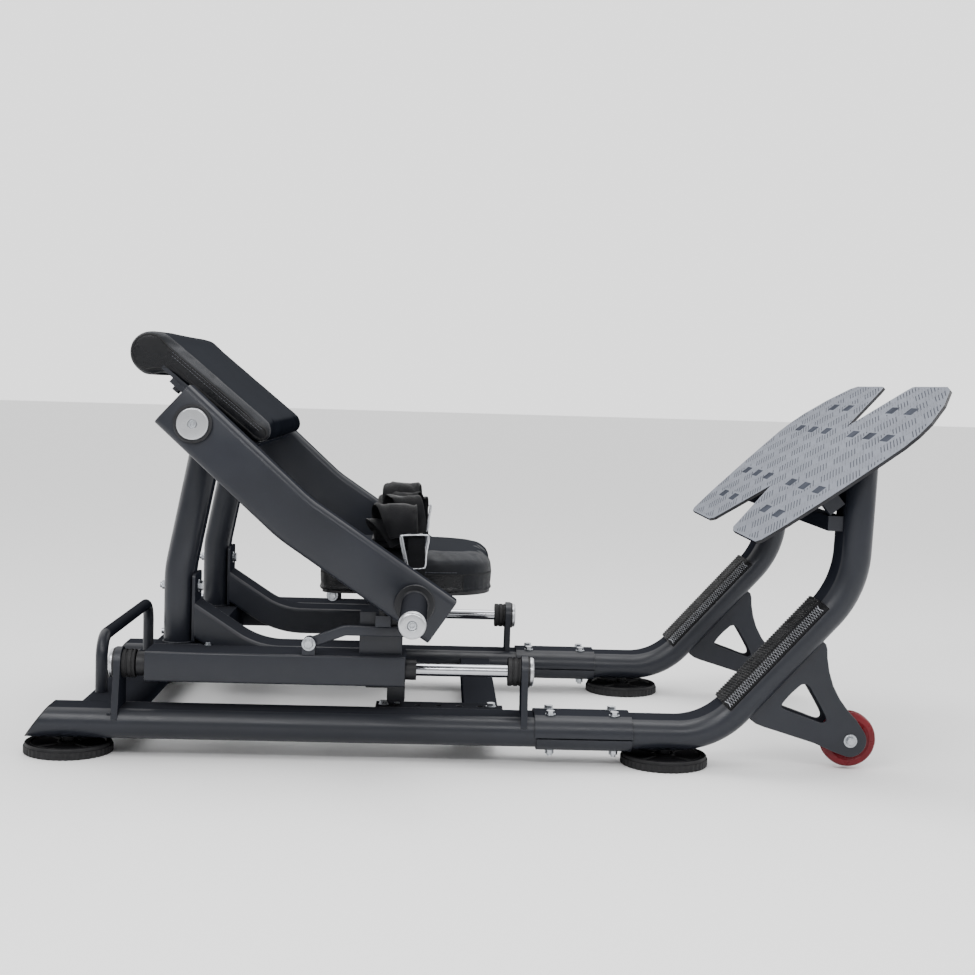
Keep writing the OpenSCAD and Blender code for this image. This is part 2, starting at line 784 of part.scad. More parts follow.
// Side outline of the arm tube, h deep, bent at the knee
module arm_side(h) {
  half = h / 2;
  mid = arm_fall - arm_bend / 2;
  reach = half / cos(arm_bend / 2);
  tail = [pivot_x - arm_tail * cos(arm_fall), pivot_z + arm_tail * sin(arm_fall)];
  tip = [knee_x + arm_low * cos(low_fall), knee_z - arm_low * sin(low_fall)];
  up = [sin(arm_fall), cos(arm_fall)];
  up_mid = [sin(mid), cos(mid)];
  up_low = [sin(low_fall), cos(low_fall)];
  knee_at = [knee_x, knee_z];
  polygon([tail + half * up, knee_at + reach * up_mid, tip + half * up_low,
    tip - half * up_low, knee_at - reach * up_mid, tail - half * up]);
}

module arm() {
  difference() {
    translate([0, -arm_y, 0]) along_y(arm_w) arm_side(arm_h);
    translate([0, -arm_y, 0]) along_y(arm_w - 2 * wall) arm_side(arm_h - 2 * wall);
    translate([pivot_x, -arm_y, pivot_z]) tube_y(70, 100);
    translate([horn_x, -arm_y, horn_z]) tube_y(horn_d, 100);
  }
  difference() {
    translate([pivot_x, -arm_y, pivot_z]) tube_y(70, arm_w + 4);
    translate([pivot_x, -arm_y, pivot_z]) tube_y(shaft_d, 100);
  }
}

module arm_near() { color(frame_grey) arm(); }
module arm_far() { color(frame_grey) mirror([0, 1, 0]) arm(); }

module pivot_shaft() {
  color("silver") translate([pivot_x, 0, pivot_z]) tube_y(shaft_d, 2 * arm_out + 4);
}

module pivot_caps() {
  color(alloy) both_sides() translate([pivot_x, -arm_out - 2, pivot_z]) rotate([90, 0, 0]) end_cap(62, 9, 3);
}

// Weight horn through the arm tube, with a welded flange outside
module weight_horn() {
  translate([horn_x, 0, horn_z]) difference() {
    union() {
      translate([0, -arm_in - (arm_w + horn_len - 8) / 2, 0]) tube_y(horn_d, arm_w + horn_len - 8);
      translate([0, -arm_out - 4, 0]) tube_y(78, 8);
    }
    translate([0, -arm_in - (arm_w + horn_len) / 2, 0]) tube_y(horn_d - 8, arm_w + horn_len + 10);
  }
}

module weight_horn_near() { color("#33353a") weight_horn(); }
module weight_horn_far() { color("#33353a") mirror([0, 1, 0]) weight_horn(); }

module horn_caps() {
  color(alloy) both_sides() translate([horn_x, -arm_out - horn_len + 8, horn_z]) rotate([90, 0, 0])
    end_cap(horn_d, 12, 4);
}

// Carries its children to the back pad's top face: x runs down the slope, z out of the pad
module on_pad() {
  translate([pad_x, 0, pad_z]) rotate([0, pad_slope, 0]) children();
}

// Cross bars between the arms, and the board that the cushion is bolted to
module pad_frame() {
  bar_t = 25;
  strap_t = 10;
  under = foam_t + board_t;
  color(frame_grey) on_pad() {
    translate([34, -pad_half + 8, -under]) cube([pad_len - 40, 2 * pad_half - 16, board_t]);
    translate([pad_len - 60, -arm_in, -under - bar_t]) cube([40, 2 * arm_in, bar_t]);
    translate([64, -345, -under - strap_t]) cube([40, 690, strap_t]);
  }
  color(zinc) on_pad() for (y = [-330, -110, 110, 330]) translate([84, y, -under - strap_t])
    mirror([0, 0, 1]) hex_bolt(10, 0.1);
}

module back_pad() {
  color(leather) on_pad() {
    translate([0, 0, -foam_t]) along_y(2 * pad_half) polygon([[-20, 0], [pad_len - 18, 0], [pad_len, 16],
      [pad_len, foam_t - 20], [pad_len - 20, foam_t], [-20, foam_t]]);
    translate([-10, 0, -roll_r]) tube_y(2 * roll_r, 2 * pad_half);
  }
}

// Hip belt: padded centre lying over the seat, straps and rings to the arms
module hip_belt() {
  belt_w = 110;
  color(black) {
    translate([-248, -170, seat_z + 4]) cube([belt_w, 340, 46]);
    both_sides() hull() {
      translate([-236, -172, seat_z + 6]) cube([belt_w - 24, 4, 40]);
      translate([-196, -372, seat_z + 64]) cube([58, 4, 12]);
    }
    both_sides() hull() {
      translate([-196, -372, seat_z + 30]) cube([58, 10, 46]);
      translate([-176, -402, seat_z - 10]) cube([36, 10, 30]);
    }
  }
  color(zinc) both_sides() translate([-176, -arm_in, seat_z - 24]) cube([30, 14, 22]);
}

// ---- controls ----

// Release levers on both sides, joined by a round cross rod
module release_lever() {
  rise = 21;
  knee_at = [73 * cos(rise), 73 * sin(rise)];
  half = 10;
  lean = half * tan(rise / 2);
  color(frame_grey) {
    both_sides() difference() {
      translate([lever_x, -lever_y, lever_z]) along_y(16) union() {
        circle(13);
        polygon([[-half * sin(rise), half * cos(rise)], knee_at + [-lean, half], [204, knee_at[1] + half],
          [204, knee_at[1] - half], knee_at + [lean, -half], [half * sin(rise), -half * cos(rise)]]);
      }
      translate([lever_x, -lever_y, lever_z]) tube_y(10.1, 40);
    }
    translate([lever_rod_x, 0, lever_rod_z]) tube_y(12, 2 * lever_y);
  }
}

module index_pin() {
  head_z = lever_rod_z + 6 + pin_gap;
  color(zinc) {
    translate([pin_x, -pin_y, index_top + pin_gap]) cylinder(d = pin_d, h = head_z - index_top - pin_gap + 1);
    translate([pin_x - 8, -pin_y - 8, head_z]) cube([36, 16, 8]);
  }
}

rail_near();
rail_far();
rail_end_caps();
front_cross_tube();
rear_cross_member();
grab_handle();
rod_brackets();
guide_rods();
rod_end_caps();
bumpers();
index_plate();
base_bolts();
foot_pads();
foot_stems();
clamp_upper_shells();
clamp_lower_shells();
rear_tube_near();
rear_tube_far();
grip_mat_near();
grip_mat_far();
wheel_bracket_near();
wheel_bracket_far();
wheel_axles();
foot_plate();
plate_cross_beam();
plate_flanges();
tyre_near();
tyre_far();
hub_near();
hub_far();
side_tube_near();
side_tube_far();
front_beam();
rear_beam();
slide_bushings();
post_near();
post_far();
s_beam_near();
s_beam_far();
post_bolts();
pillars();
arm_stops();
seat_beam();
seat_pan();
seat_pad();
pivot_housings();
pin_housing();
lever_lugs();
arm_near();
arm_far();
pivot_shaft();
pivot_caps();
weight_horn_near();
weight_horn_far();
horn_caps();
pad_frame();
back_pad();
hip_belt();
release_lever();
index_pin();
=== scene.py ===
import json
import math

import bmesh
import bpy
from mathutils import Matrix, Vector
from mathutils.bvhtree import BVHTree


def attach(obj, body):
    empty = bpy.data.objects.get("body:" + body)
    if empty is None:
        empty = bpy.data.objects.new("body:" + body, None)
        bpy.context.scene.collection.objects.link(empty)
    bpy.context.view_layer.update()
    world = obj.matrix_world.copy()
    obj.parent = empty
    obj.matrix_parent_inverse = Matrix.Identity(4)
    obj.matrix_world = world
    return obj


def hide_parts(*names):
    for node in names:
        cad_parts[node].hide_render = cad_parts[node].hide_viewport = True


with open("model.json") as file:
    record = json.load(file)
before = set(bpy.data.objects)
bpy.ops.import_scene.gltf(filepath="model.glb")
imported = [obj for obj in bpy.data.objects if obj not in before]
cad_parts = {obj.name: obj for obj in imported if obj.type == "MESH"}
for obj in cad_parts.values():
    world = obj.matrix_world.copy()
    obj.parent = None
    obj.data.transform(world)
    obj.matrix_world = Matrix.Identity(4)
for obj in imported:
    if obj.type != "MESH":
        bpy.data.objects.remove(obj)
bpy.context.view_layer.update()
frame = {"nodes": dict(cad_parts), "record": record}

NODES = frame["nodes"]
scene = bpy.context.scene
sin, cos, radians = math.sin, math.cos, math.radians


# ---- camera, lights, floor ----

def make_camera():
    """The photo's camera: its place, lens and small roll were fitted to the photo."""
    yaw, pitch, roll = (radians(a) for a in (1.82, 3.68, 1.64))
    fwd = Vector((sin(yaw) * cos(pitch), cos(yaw) * cos(pitch), -sin(pitch)))
    right = Vector((cos(yaw), -sin(yaw), 0))
    up = right.cross(fwd)
    r = cos(roll) * right + sin(roll) * up
    u = -sin(roll) * right + cos(roll) * up
    cam = bpy.data.objects.new("camera", bpy.data.cameras.new("camera"))
    scene.collection.objects.link(cam)
    m = Matrix((r, u, -fwd)).transposed().to_4x4()
    m.translation = (-0.110, -3.512, 0.752)
    cam.matrix_world = m
    cam.data.sensor_width = 36
    cam.data.lens = 58.05
    cam.data.clip_end = 200
    scene.camera = cam


def area_light(name, spot, target, size, power):
    light = bpy.data.lights.new(name, "AREA")
    light.shape = "RECTANGLE"
    light.size, light.size_y = size
    light.energy = power
    obj = bpy.data.objects.new(name, light)
    obj.location = spot
    obj.rotation_euler = (Vector(target) - Vector(spot)).to_track_quat("-Z", "Y").to_euler()
    scene.collection.objects.link(obj)


def make_studio():
    world = bpy.data.worlds.new("studio")
    world.use_nodes = True
    tree = world.node_tree
    split = tree.nodes.new("ShaderNodeSeparateXYZ")
    tree.links.new(tree.nodes.new("ShaderNodeTexCoord").outputs["Generated"], split.inputs[0])
    ramp = tree.nodes.new("ShaderNodeValToRGB")
    ramp.color_ramp.elements.new(0.5)
    for e, (pos, v) in zip(ramp.color_ramp.elements, ((0.0, 0.3), (0.5, 1.0), (0.93, 0.74))):
        e.position, e.color = pos, (v, v, v, 1)
    tree.links.new(split.outputs["Y"], ramp.inputs[0])
    tree.links.new(ramp.outputs[0], tree.nodes["Background"].inputs["Color"])
    tree.nodes["Background"].inputs["Strength"].default_value = 2.6
    scene.world = world

    area_light("key", (-1.8, -2.4, 3.2), (0, 0, 0.4), (1.8, 1.2), 55)
    area_light("strip", (0.2, -3.2, 2.3), (0, 0, 0.3), (4.4, 0.35), 60)
    area_light("top", (0.3, 0.3, 3.4), (0, 0, 0.3), (2.4, 1.2), 40)
    area_light("side", (3.4, -1.0, 1.8), (0.2, 0, 0.4), (1.2, 1.6), 25)

    me = bpy.data.meshes.new("floor")
    half = 40
    me.from_pydata([(-half, -half, 0), (half, -half, 0), (half, half, 0), (-half, half, 0)], [],
                   [(0, 1, 2, 3)])
    floor = bpy.data.objects.new("floor", me)
    scene.collection.objects.link(floor)
    mat = bpy.data.materials.new("floor_paint")
    mat.use_nodes = True
    bsdf = mat.node_tree.nodes["Principled BSDF"]
    bsdf.inputs["Base Color"].default_value = (0.93, 0.93, 0.93, 1)
    bsdf.inputs["Roughness"].default_value = 0.9
    bsdf.inputs["Specular IOR Level"].default_value = 0.1
    me.materials.append(mat)


# ---- materials ----

class Nodes:
    """A short way to write a node tree."""

    def __init__(self, name):
        self.mat = bpy.data.materials.new(name)
        self.mat.use_nodes = True
        self.tree = self.mat.node_tree
        self.bsdf = self.tree.nodes["Principled BSDF"]
        self.coord = self.tree.nodes.new("ShaderNodeTexCoord").outputs["Object"]

    def node(self, kind, props=None, **inputs):
        n = self.tree.nodes.new("ShaderNode" + kind)
        for k, v in (props or {}).items():
            setattr(n, k, v)
        for k, v in inputs.items():
            self.put(n.inputs[k.replace("_", " ")], v)
        return n

    def put(self, socket, value):
        if isinstance(value, bpy.types.NodeSocket):
            self.tree.links.new(value, socket)
        else:
            socket.default_value = value

    def noise(self, scale, detail=3, stretch=None, rough=0.5):
        at = self.coord
        if stretch:
            m = self.node("Mapping", Scale=stretch)
            self.put(m.inputs["Vector"], self.coord)
            at = m.outputs[0]
        return self.node("TexNoise", Vector=at, Scale=scale, Detail=detail, Roughness=rough).outputs["Fac"]

    def math(self, op, a, b=0.0, clamp=False):
        n = self.tree.nodes.new("ShaderNodeMath")
        n.operation, n.use_clamp = op, clamp
        self.put(n.inputs[0], a)
        self.put(n.inputs[1], b)
        return n.outputs[0]

    def ramp(self, fac, *stops):
        n = self.tree.nodes.new("ShaderNodeValToRGB")
        while len(n.color_ramp.elements) < len(stops):
            n.color_ramp.elements.new(0.5)
        for e, (pos, col) in zip(n.color_ramp.elements, stops):
            e.position = pos
            e.color = (*col, 1) if hasattr(col, "__len__") else (col, col, col, 1)
        self.put(n.inputs[0], fac)
        return n.outputs[0]

    def mix(self, fac, a, b):
        n = self.tree.nodes.new("ShaderNodeMix")
        n.data_type = "RGBA"
        for socket, v in ((n.inputs[0], fac), (n.inputs[6], a), (n.inputs[7], b)):
            self.put(socket, (*v, 1) if isinstance(v, tuple) and len(v) == 3 else v)
        return n.outputs[2]

    def bump(self, height, distance, strength=1.0, normal=None):
        n = self.node("Bump", Height=height, Distance=distance, Strength=strength)
        if normal is not None:
            self.put(n.inputs["Normal"], normal)
        return n.outputs[0]

    def soft_edge(self, radius):
        """A normal that rounds hard edges, and a 0-1 value that is high on them."""
        bevel = self.node("Bevel", {"samples": 4}, Radius=radius).outputs[0]
        flat = self.node("NewGeometry").outputs["Normal"]
        dot = self.node("VectorMath", {"operation": "DOT_PRODUCT"})
        self.put(dot.inputs[0], bevel)
        self.put(dot.inputs[1], flat)
        return bevel, self.math("SUBTRACT", 1.0, dot.outputs["Value"], clamp=True)

    def facing(self, axis):
        """How far a face is turned along one of the object's axes."""
        normal = self.tree.nodes.new("ShaderNodeTexCoord").outputs["Normal"]
        return self.node("SeparateXYZ", Vector=normal).outputs[axis]

    def side_shine(self, level):
        """Gloss on the machine's sides that fades on its tops and ends; on its tops a lighter colour is
        painted in as top light.
        """
        return self.ramp(self.math("ABSOLUTE", self.facing("Y")), (0.12, 0.0), (0.6, level))

    # Painted top light: faces turned upward are mixed towards a lighter colour, standing in for light from
    # above.
    def paint_lit_tops(self, colour, lit_top_colour):
        return self.mix(self.ramp(self.facing("Z"), (0.3, 0.0), (0.9, 0.7)), colour, lit_top_colour)

    def set(self, **values):
        for k, v in values.items():
            colour = isinstance(v, tuple) and len(v) == 3
            self.put(self.bsdf.inputs[k.replace("_", " ")], (*v, 1) if colour else v)
        return self.mat


def shade(c, k):
    return tuple(x * k for x in c)


def painted(name, base, rough=0.42, grain=1100, depth=0.00008, worn=(0.10, 0.105, 0.12),
            lit_top_colour=(0.026, 0.0272, 0.032)):
    n = Nodes(name)
    cloud = n.noise(5, 4)
    speck = n.noise(420, 2)
    colour = n.mix(n.ramp(cloud, (0.35, 0.0), (0.7, 1.0)), shade(base, 0.86), shade(base, 1.16))
    colour = n.mix(n.ramp(speck, (0.62, 0.0), (0.75, 0.35)), colour, shade(base, 1.7))
    # Painted top light: upward faces are mixed towards a lighter colour.
    colour = n.paint_lit_tops(colour, lit_top_colour)
    normal, edge = n.soft_edge(0.0016)
    patches = n.ramp(n.noise(38, 3), (0.42, 0.0), (0.68, 0.75))
    wear = n.math("MULTIPLY", n.ramp(edge, (0.02, 0.0), (0.2, 1.0)), patches)
    colour = n.mix(wear, colour, worn)
    return n.set(Base_Color=colour,
                 Roughness=n.ramp(n.noise(24, 4), (0.3, rough - 0.05), (0.7, rough + 0.07)),
                 Normal=n.bump(n.noise(grain, 2), depth, 0.55, normal), Specular_IOR_Level=n.side_shine(0.33))


def metal(name, base, rough, brushed=None, scratch=0.00003):
    n = Nodes(name)
    lines = n.noise(60, 3, brushed or (8, 8, 8), 0.7)
    colour = n.mix(n.ramp(n.noise(30, 3), (0.3, 0.0), (0.7, 1.0)), shade(base, 0.88), base)
    normal, _ = n.soft_edge(0.0008)
    return n.set(Base_Color=colour, Metallic=1.0,
                 Roughness=n.ramp(lines, (0.3, rough * 0.75), (0.7, rough * 1.25)),
                 Normal=n.bump(lines, scratch, 0.4, normal))


def rubbery(name, base, rough=0.62, grain=500, depth=0.0002):
    n = Nodes(name)
    colour = n.mix(n.ramp(n.noise(14, 4), (0.3, 0.0), (0.7, 1.0)), shade(base, 0.75), shade(base, 1.35))
    normal, edge = n.soft_edge(0.001)
    colour = n.mix(n.math("MULTIPLY", edge, 0.5), colour, shade(base, 3))
    return n.set(Base_Color=colour, Specular_IOR_Level=n.side_shine(0.3),
                 Roughness=n.ramp(n.noise(60, 2), (0.3, rough - 0.08), (0.7, rough + 0.1)),
                 Normal=n.bump(n.noise(grain, 3), depth, 0.5, normal))


def leathery(name, base, rough=0.4, wear=0.5, shine=0.24):
    n = Nodes(name)
    cell = n.node("TexVoronoi", {"feature": "DISTANCE_TO_EDGE"}, Vector=n.coord, Scale=620.0)
    grain = n.ramp(cell.outputs["Distance"], (0.0, 0.0), (0.12, 1.0))
    crease = n.noise(26, 5, (0.6, 3.0, 1.0), 0.62)
    fine = n.noise(90, 3, (0.5, 4.0, 1.2), 0.6)
    colour = n.mix(n.ramp(n.noise(9, 4), (0.3, 0.0), (0.7, 1.0)), shade(base, 0.8), shade(base, 1.25))
    colour = n.mix(n.ramp(crease, (0.62, 0.0), (0.72, wear)), colour, shade(base, 1.6))
    # Painted top light: the leather's upward faces are mixed towards a lighter grey.
    colour = n.paint_lit_tops(colour, (0.036, 0.038, 0.043))
    low = n.bump(crease, 0.0012, wear)
    mid = n.bump(fine, 0.0005, 0.45, low)
    return n.set(Base_Color=colour, Roughness=n.ramp(crease, (0.35, rough - 0.04), (0.7, rough + 0.1)),
                 Normal=n.bump(grain, 0.00025, 0.45, mid), Specular_IOR_Level=n.side_shine(shine))


def woven(name, base, scale, rough, sheen, shine=0.18):
    n = Nodes(name)
    waves = []
    for direction in ("X", "Y", "Z"):
        w = n.node("TexWave", {"bands_direction": direction}, Vector=n.coord, Scale=scale, Distortion=0.6,
                   Detail=1.0)
        waves.append(w.outputs["Fac"])
    weave = n.math("MULTIPLY", n.math("MAXIMUM", waves[0], waves[1]), waves[2])
    # Colour follows the weave's relief: painted shade in its low gaps and painted light on its raised
    # threads.
    colour = n.mix(n.ramp(weave, (0.1, 0.0), (0.8, 1.0)), shade(base, 0.5), shade(base, 1.7))
    colour = n.mix(n.ramp(n.noise(20, 3), (0.4, 0.0), (0.7, 0.5)), colour, shade(base, 1.9))
    return n.set(Base_Color=colour, Roughness=n.ramp(n.noise(40, 2), (0.3, rough - 0.1), (0.7, rough + 0.1)),
                 Normal=n.bump(weave, 0.0004, 0.8), Sheen_Weight=sheen, Specular_IOR_Level=shine)


MATS = {
    "frame": painted("frame_powder", (0.0125, 0.0142, 0.0198), 0.34),
    "dark": painted("dark_powder", (0.007, 0.0075, 0.0095), 0.32, worn=(0.3, 0.3, 0.31)),
    # The plate's last colour is the lighter colour painted on its upward faces as top light.
    "plate": painted("tread_grey", (0.19, 0.205, 0.24), 0.5, 700, 0.0002, (0.34, 0.35, 0.38),
                     (0.25, 0.262, 0.295)),
    "mark": rubbery("tread_marks", (0.055, 0.06, 0.075), 0.5),
    "rim": rubbery("plate_rim", (0.012, 0.012, 0.015), 0.5),
    "chrome": metal("chrome", (0.50, 0.51, 0.54), 0.12, (2, 30, 30)),
    "alloy": metal("turned_alloy", (0.50, 0.51, 0.53), 0.3, (40, 2, 40)),
    "zinc": metal("zinc", (0.46, 0.48, 0.51), 0.3),
    "rubber": rubbery("black_rubber", (0.010, 0.010, 0.011)),
    "plastic": rubbery("black_plastic", (0.010, 0.0102, 0.012), 0.42, 900, 0.0001),
    "tyre": rubbery("red_polyurethane", (0.105, 0.0018, 0.006), 0.3, 200, 0.0001),
    "leather": leathery("black_leather", (0.0052, 0.0062, 0.0088), 0.36, 0.5, 0.17),
    "leather_side": leathery("glossy_leather", (0.0032, 0.0036, 0.005), 0.25, 0.15, 0.26),
    "seam": rubbery("seam_shadow", (0.004, 0.004, 0.005), 0.6),
    "thread": woven("stitch_thread", (0.085, 0.09, 0.105), 900, 0.7, 0.1),
    "belt": woven("belt_fabric", (0.0022, 0.0024, 0.0034), 320, 0.45, 0.0, shine=0.1),
    # Light grey thread whose colour is a painted highlight, standing in for the glints on the mat's edge
    # lattice.
    "glint_lattice": rubbery("lattice_glint_thread", (0.36, 0.37, 0.40), 0.25),
    "mat": woven("grip_weave", (0.0028, 0.003, 0.004), 240, 0.3, 0.0),
}
# The material that each of the record's slots gets on plain CAD pieces
SLOT_MATS = {"frame_paint": "frame", "cap_plastic": "plastic", "chrome_rod": "chrome", "alloy_cap": "alloy",
             "rubber": "rubber", "dark_steel": "dark", "zinc": "zinc", "grip_weave": "mat",
             "tread_plate": "rim", "red_tyre": "tyre", "black_leather": "leather", "belt_webbing": "belt"}


def dress_cad_nodes():
    """Plain CAD pieces that no finer piece replaces keep their shape and get a material."""
    for part in frame["record"]["subparts"]:
        me = NODES[part["node"]].data
        me.materials.clear()
        me.materials.append(MATS[SLOT_MATS[part["material_slot"]]])


# ---- mesh building, in millimetres ----

def finish_mesh(bm, name, mat, sharp=38):
    """An object in metres from a mesh in millimetres, smooth up to the sharp angle in degrees."""
    bmesh.ops.remove_doubles(bm, verts=bm.verts, dist=0.005)
    bmesh.ops.recalc_face_normals(bm, faces=bm.faces)
    for e in bm.edges:
        if len(e.link_faces) == 2:
            e.smooth = e.calc_face_angle(0) < radians(sharp)
    for f in bm.faces:
        f.smooth = True
    bmesh.ops.scale(bm, vec=(0.001,) * 3, verts=bm.verts)
    me = bpy.data.meshes.new(name)
    bm.to_mesh(me)
    bm.free()
    obj = bpy.data.objects.new(name, me)
    scene.collection.objects.link(obj)
    me.materials.append(MATS[mat])
    return obj


def place(obj, body, slot, *nodes):
    """Puts a piece on its body, in place of the CAD nodes that are named. Its slot argument is not used."""
    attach(obj, body)
    if nodes:
        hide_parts(*nodes)
    return obj


def obround(w, h, n=14):
    """Flat-oval outline, w across Y and h along the normal."""
    half = [((w - h) / 2 + h / 2 * sin(a), h / 2 * cos(a)) for a in (math.pi * k / n for k in range(n + 1))]
    return half + [(-x, -y) for x, y in half]


def soft_box(w, h, r, n=5):
    """A box outline with round corners."""
    points = []
    for cx, cy, a0 in ((w / 2 - r, h / 2 - r, 90), (w / 2 - r, r - h / 2, 0),
                       (r - w / 2, r - h / 2, -90), (r - w / 2, h / 2 - r, -180)):
        for k in range(n + 1):
            a = radians(a0 - 90 * k / n)
            points.append((cx + r * cos(a), cy + r * sin(a)))
    return points


def route(x, z, heading, *runs, step=3.0):
    """Stations (x, z, heading) along straight runs and arcs: each run is (length, turn, radius)."""
    out = [(x, z, heading)]
    for length, turn, r in runs:
        x += length * cos(radians(heading))
        z += length * sin(radians(heading))
        out.append((x, z, heading))
        n = max(1, round(abs(turn) / step)) if turn else 0
        side = 1 if turn > 0 else -1
        cx, cz = x - side * r * sin(radians(heading)), z + side * r * cos(radians(heading))
        for k in range(1, n + 1):
            h = radians(heading + turn * k / n)
            out.append((cx + side * r * sin(h), cz - side * r * cos(h), heading + turn * k / n))
        if n:
            x, z, heading = out[-1]
    return out


def loft(bm, rings, caps=True):
    """A skin over closed rings that have equal numbers of points."""
    rows = [[bm.verts.new(p) for p in ring] for ring in rings]
    n = len(rows[0])
    for a, b in zip(rows, rows[1:]):
        for j in range(n):
            k = (j + 1) % n
            bm.faces.new((a[j], a[k], b[k], b[j]))
    if caps:
        bm.faces.new(rows[0])
        bm.faces.new(rows[-1][::-1])


def round_hard_edges(bm, width, angle=55, segments=2):
    edges = [e for e in bm.edges if len(e.link_faces) == 2 and e.calc_face_angle(0) > radians(angle)]
    if edges:
        bmesh.ops.bevel(bm, geom=edges, offset=width, segments=segments, affect="EDGES", profile=0.5)


def cut(bm, point, normal):
    """Cuts away what lies on the normal's side of a plane, and closes the cut."""
    res = bmesh.ops.bisect_plane(bm, geom=bm.verts[:] + bm.edges[:] + bm.faces[:], plane_co=point,
                                 plane_no=normal, clear_outer=True)
    rim = [e for e in res["geom_cut"] if isinstance(e, bmesh.types.BMEdge)]
    if rim:
        bmesh.ops.edgeloop_fill(bm, edges=rim)


def swept(name, path, outline, y, mat, edge=1.5, cuts=()):
    """A tube along a path in the X-Z plane: its outline is (across Y, along the path's normal)."""
    bm = bmesh.new()
    rings = []
    for x, z, heading in path:
        h = radians(heading)
        rings.append([(x - b * sin(h), y + a, z + b * cos(h)) for a, b in outline])
    loft(bm, rings)
    for point, normal in cuts:
        cut(bm, point, normal)
    bmesh.ops.recalc_face_normals(bm, faces=bm.faces)
    if edge:
        round_hard_edges(bm, edge)
    return finish_mesh(bm, name, mat)


def turned(name, profile, centre, axis, mat, n=64, twist=None, sharp=32):
    """A turned piece: profile is (radius, distance along the axis)."""
    bm = bmesh.new()
    q = Vector(axis).to_track_quat("Z", "Y")
    rings = []
    for r, d in profile:
        ring = []
        for k in range(n):
            a = 2 * math.pi * k / n
            rr = r + (twist(a, r, d) if twist else 0)
            ring.append(q @ Vector((rr * cos(a), rr * sin(a), d)) + Vector(centre))
        rings.append(ring)
    loft(bm, rings)
    return finish_mesh(bm, name, mat, sharp)


def flat_plate(bm, loops, t, edge, to_space):
    """A plate with holes: the first loop is its outline, the others are holes. Edges are eased."""
    faces = ([], [])
    for k, loop in enumerate(loops):
        m = len(loop)
        area = sum(loop[i - 1][0] * loop[i][1] - loop[i][0] * loop[i - 1][1] for i in range(m))
        if (area > 0) == (k > 0):
            loop = loop[::-1]
        inner = []
        for i in range(m):
            a, b, c = (Vector(loop[j % m]) for j in (i - 1, i, i + 1))
            d1, d2 = (b - a).normalized(), (c - b).normalized()
            n1, n2 = Vector((-d1.y, d1.x)), Vector((-d2.y, d2.x))
            inner.append(b + (n1 + n2) * (edge / max(0.4, 1 + n1.dot(n2))))
        rows = [[bm.verts.new(to_space(q[0], q[1], z)) for q in ring]
                for ring, z in ((inner, 0), (loop, edge), (loop, t - edge), (inner, t))]
        for a, b in zip(rows, rows[1:]):
            for i in range(m):
                j = (i + 1) % m
                bm.faces.new((a[i], a[j], b[j], b[i]))
        for side, row in zip(faces, (rows[0], rows[-1])):
            side.extend(bm.edges.get((row[i], row[(i + 1) % m])) for i in range(m))
    for side in faces:
        bmesh.ops.triangle_fill(bm, use_beauty=True, use_dissolve=False, edges=side)


def hex_head(name, centre, axis, across, h, body):
    """A chamfered hexagon head on a washer, standing out along the axis."""
    d = Vector(axis).normalized()
    c = Vector(centre)
    r = across / math.sqrt(3)
    side = d.orthogonal().normalized()
    up = d.cross(side)
    washer_t = 2.0
    bm = bmesh.new()
    rings = []
    for share, f in ((0, 1), (0.82, 1), (1, 0.86), (0.96, 0.5), (0.96, 0.05)):
        z = washer_t + h * share
        rings.append([c + d * z + (side * cos(a) + up * sin(a)) * r * f
                      for a in (math.pi * k / 3 for k in range(6))])
    loft(bm, rings)
    round_hard_edges(bm, 0.5, 40, 1)
    place(finish_mesh(bm, name, "zinc", 25), body, "zinc")
    profile = [(0.4, 0), (across * 0.78, 0), (across * 0.8, 0.4), (across * 0.8, 1.6),
               (across * 0.76, washer_t), (0.4, washer_t)]
    place(turned(name + "_washer", profile, c, d, "zinc", 32), body, "zinc")


def weld(name, points, body, r=2.2):
    """A rippled weld bead along a line of points."""
    pts = catmull(points, 2) if len(points) < 3 else [Vector(p) for p in points]
    bm = bmesh.new()
    for a, b in zip(pts, pts[1:]):
        n = max(1, round((b - a).length / 2.2))
        rings = []
        side = (b - a).orthogonal().normalized()
        up = (b - a).normalized().cross(side)
        for i in range(n * 2 + 1):
            f = r * (1.0 if i % 2 else 0.72)
            rings.append([a.lerp(b, i / (2 * n)) + (side * cos(q) + up * sin(q)) * f
                          for q in (math.pi * k / 4 for k in range(8))])
        loft(bm, rings)
    return place(finish_mesh(bm, name, "frame"), body, "frame_paint")


def wire(bm, points, r, n=8, closed=False):
    """A round wire through points."""
    pts = [Vector(p) for p in points]
    m = len(pts)
    rings = []
    side = None
    for i, p in enumerate(pts):
        a = pts[(i - 1) % m] if closed or i else p
        b = pts[(i + 1) % m] if closed or i < m - 1 else p
        t = (b - a).normalized()
        if side is None:
            side = t.orthogonal().normalized()
        side = (side - t * side.dot(t)).normalized()
        up = t.cross(side)
        turns = [2 * math.pi * k / n for k in range(n)]
        rings.append([p + r * (cos(q) * side + sin(q) * up) for q in turns])
    if closed:
        rings.append(rings[0])
    loft(bm, rings, caps=not closed)


def catmull(points, per=6, closed=False):
    """A smooth curve through points, with this many steps between each two."""
    pts = [Vector(p) for p in points]
    m = len(pts)
    out = []
    for i in range(m if closed else m - 1):
        near = [(i + k) % m if closed else min(max(i + k, 0), m - 1) for k in (-1, 0, 1, 2)]
        p0, p1, p2, p3 = (pts[k] for k in near)
        for s in range(per):
            t = s / per
            out.append(0.5 * (2 * p1 + (p2 - p0) * t + (2 * p0 - 5 * p1 + 4 * p2 - p3) * t ** 2
                              + (3 * p1 - p0 - 3 * p2 + p3) * t ** 3))
    if not closed:
        out.append(pts[-1])
    return out


def both(make):
    """Makes the near and the far piece of a mirrored pair."""
    for side, sign in (("near", -1), ("far", 1)):
        make(side, sign)


# ---- tubes ----

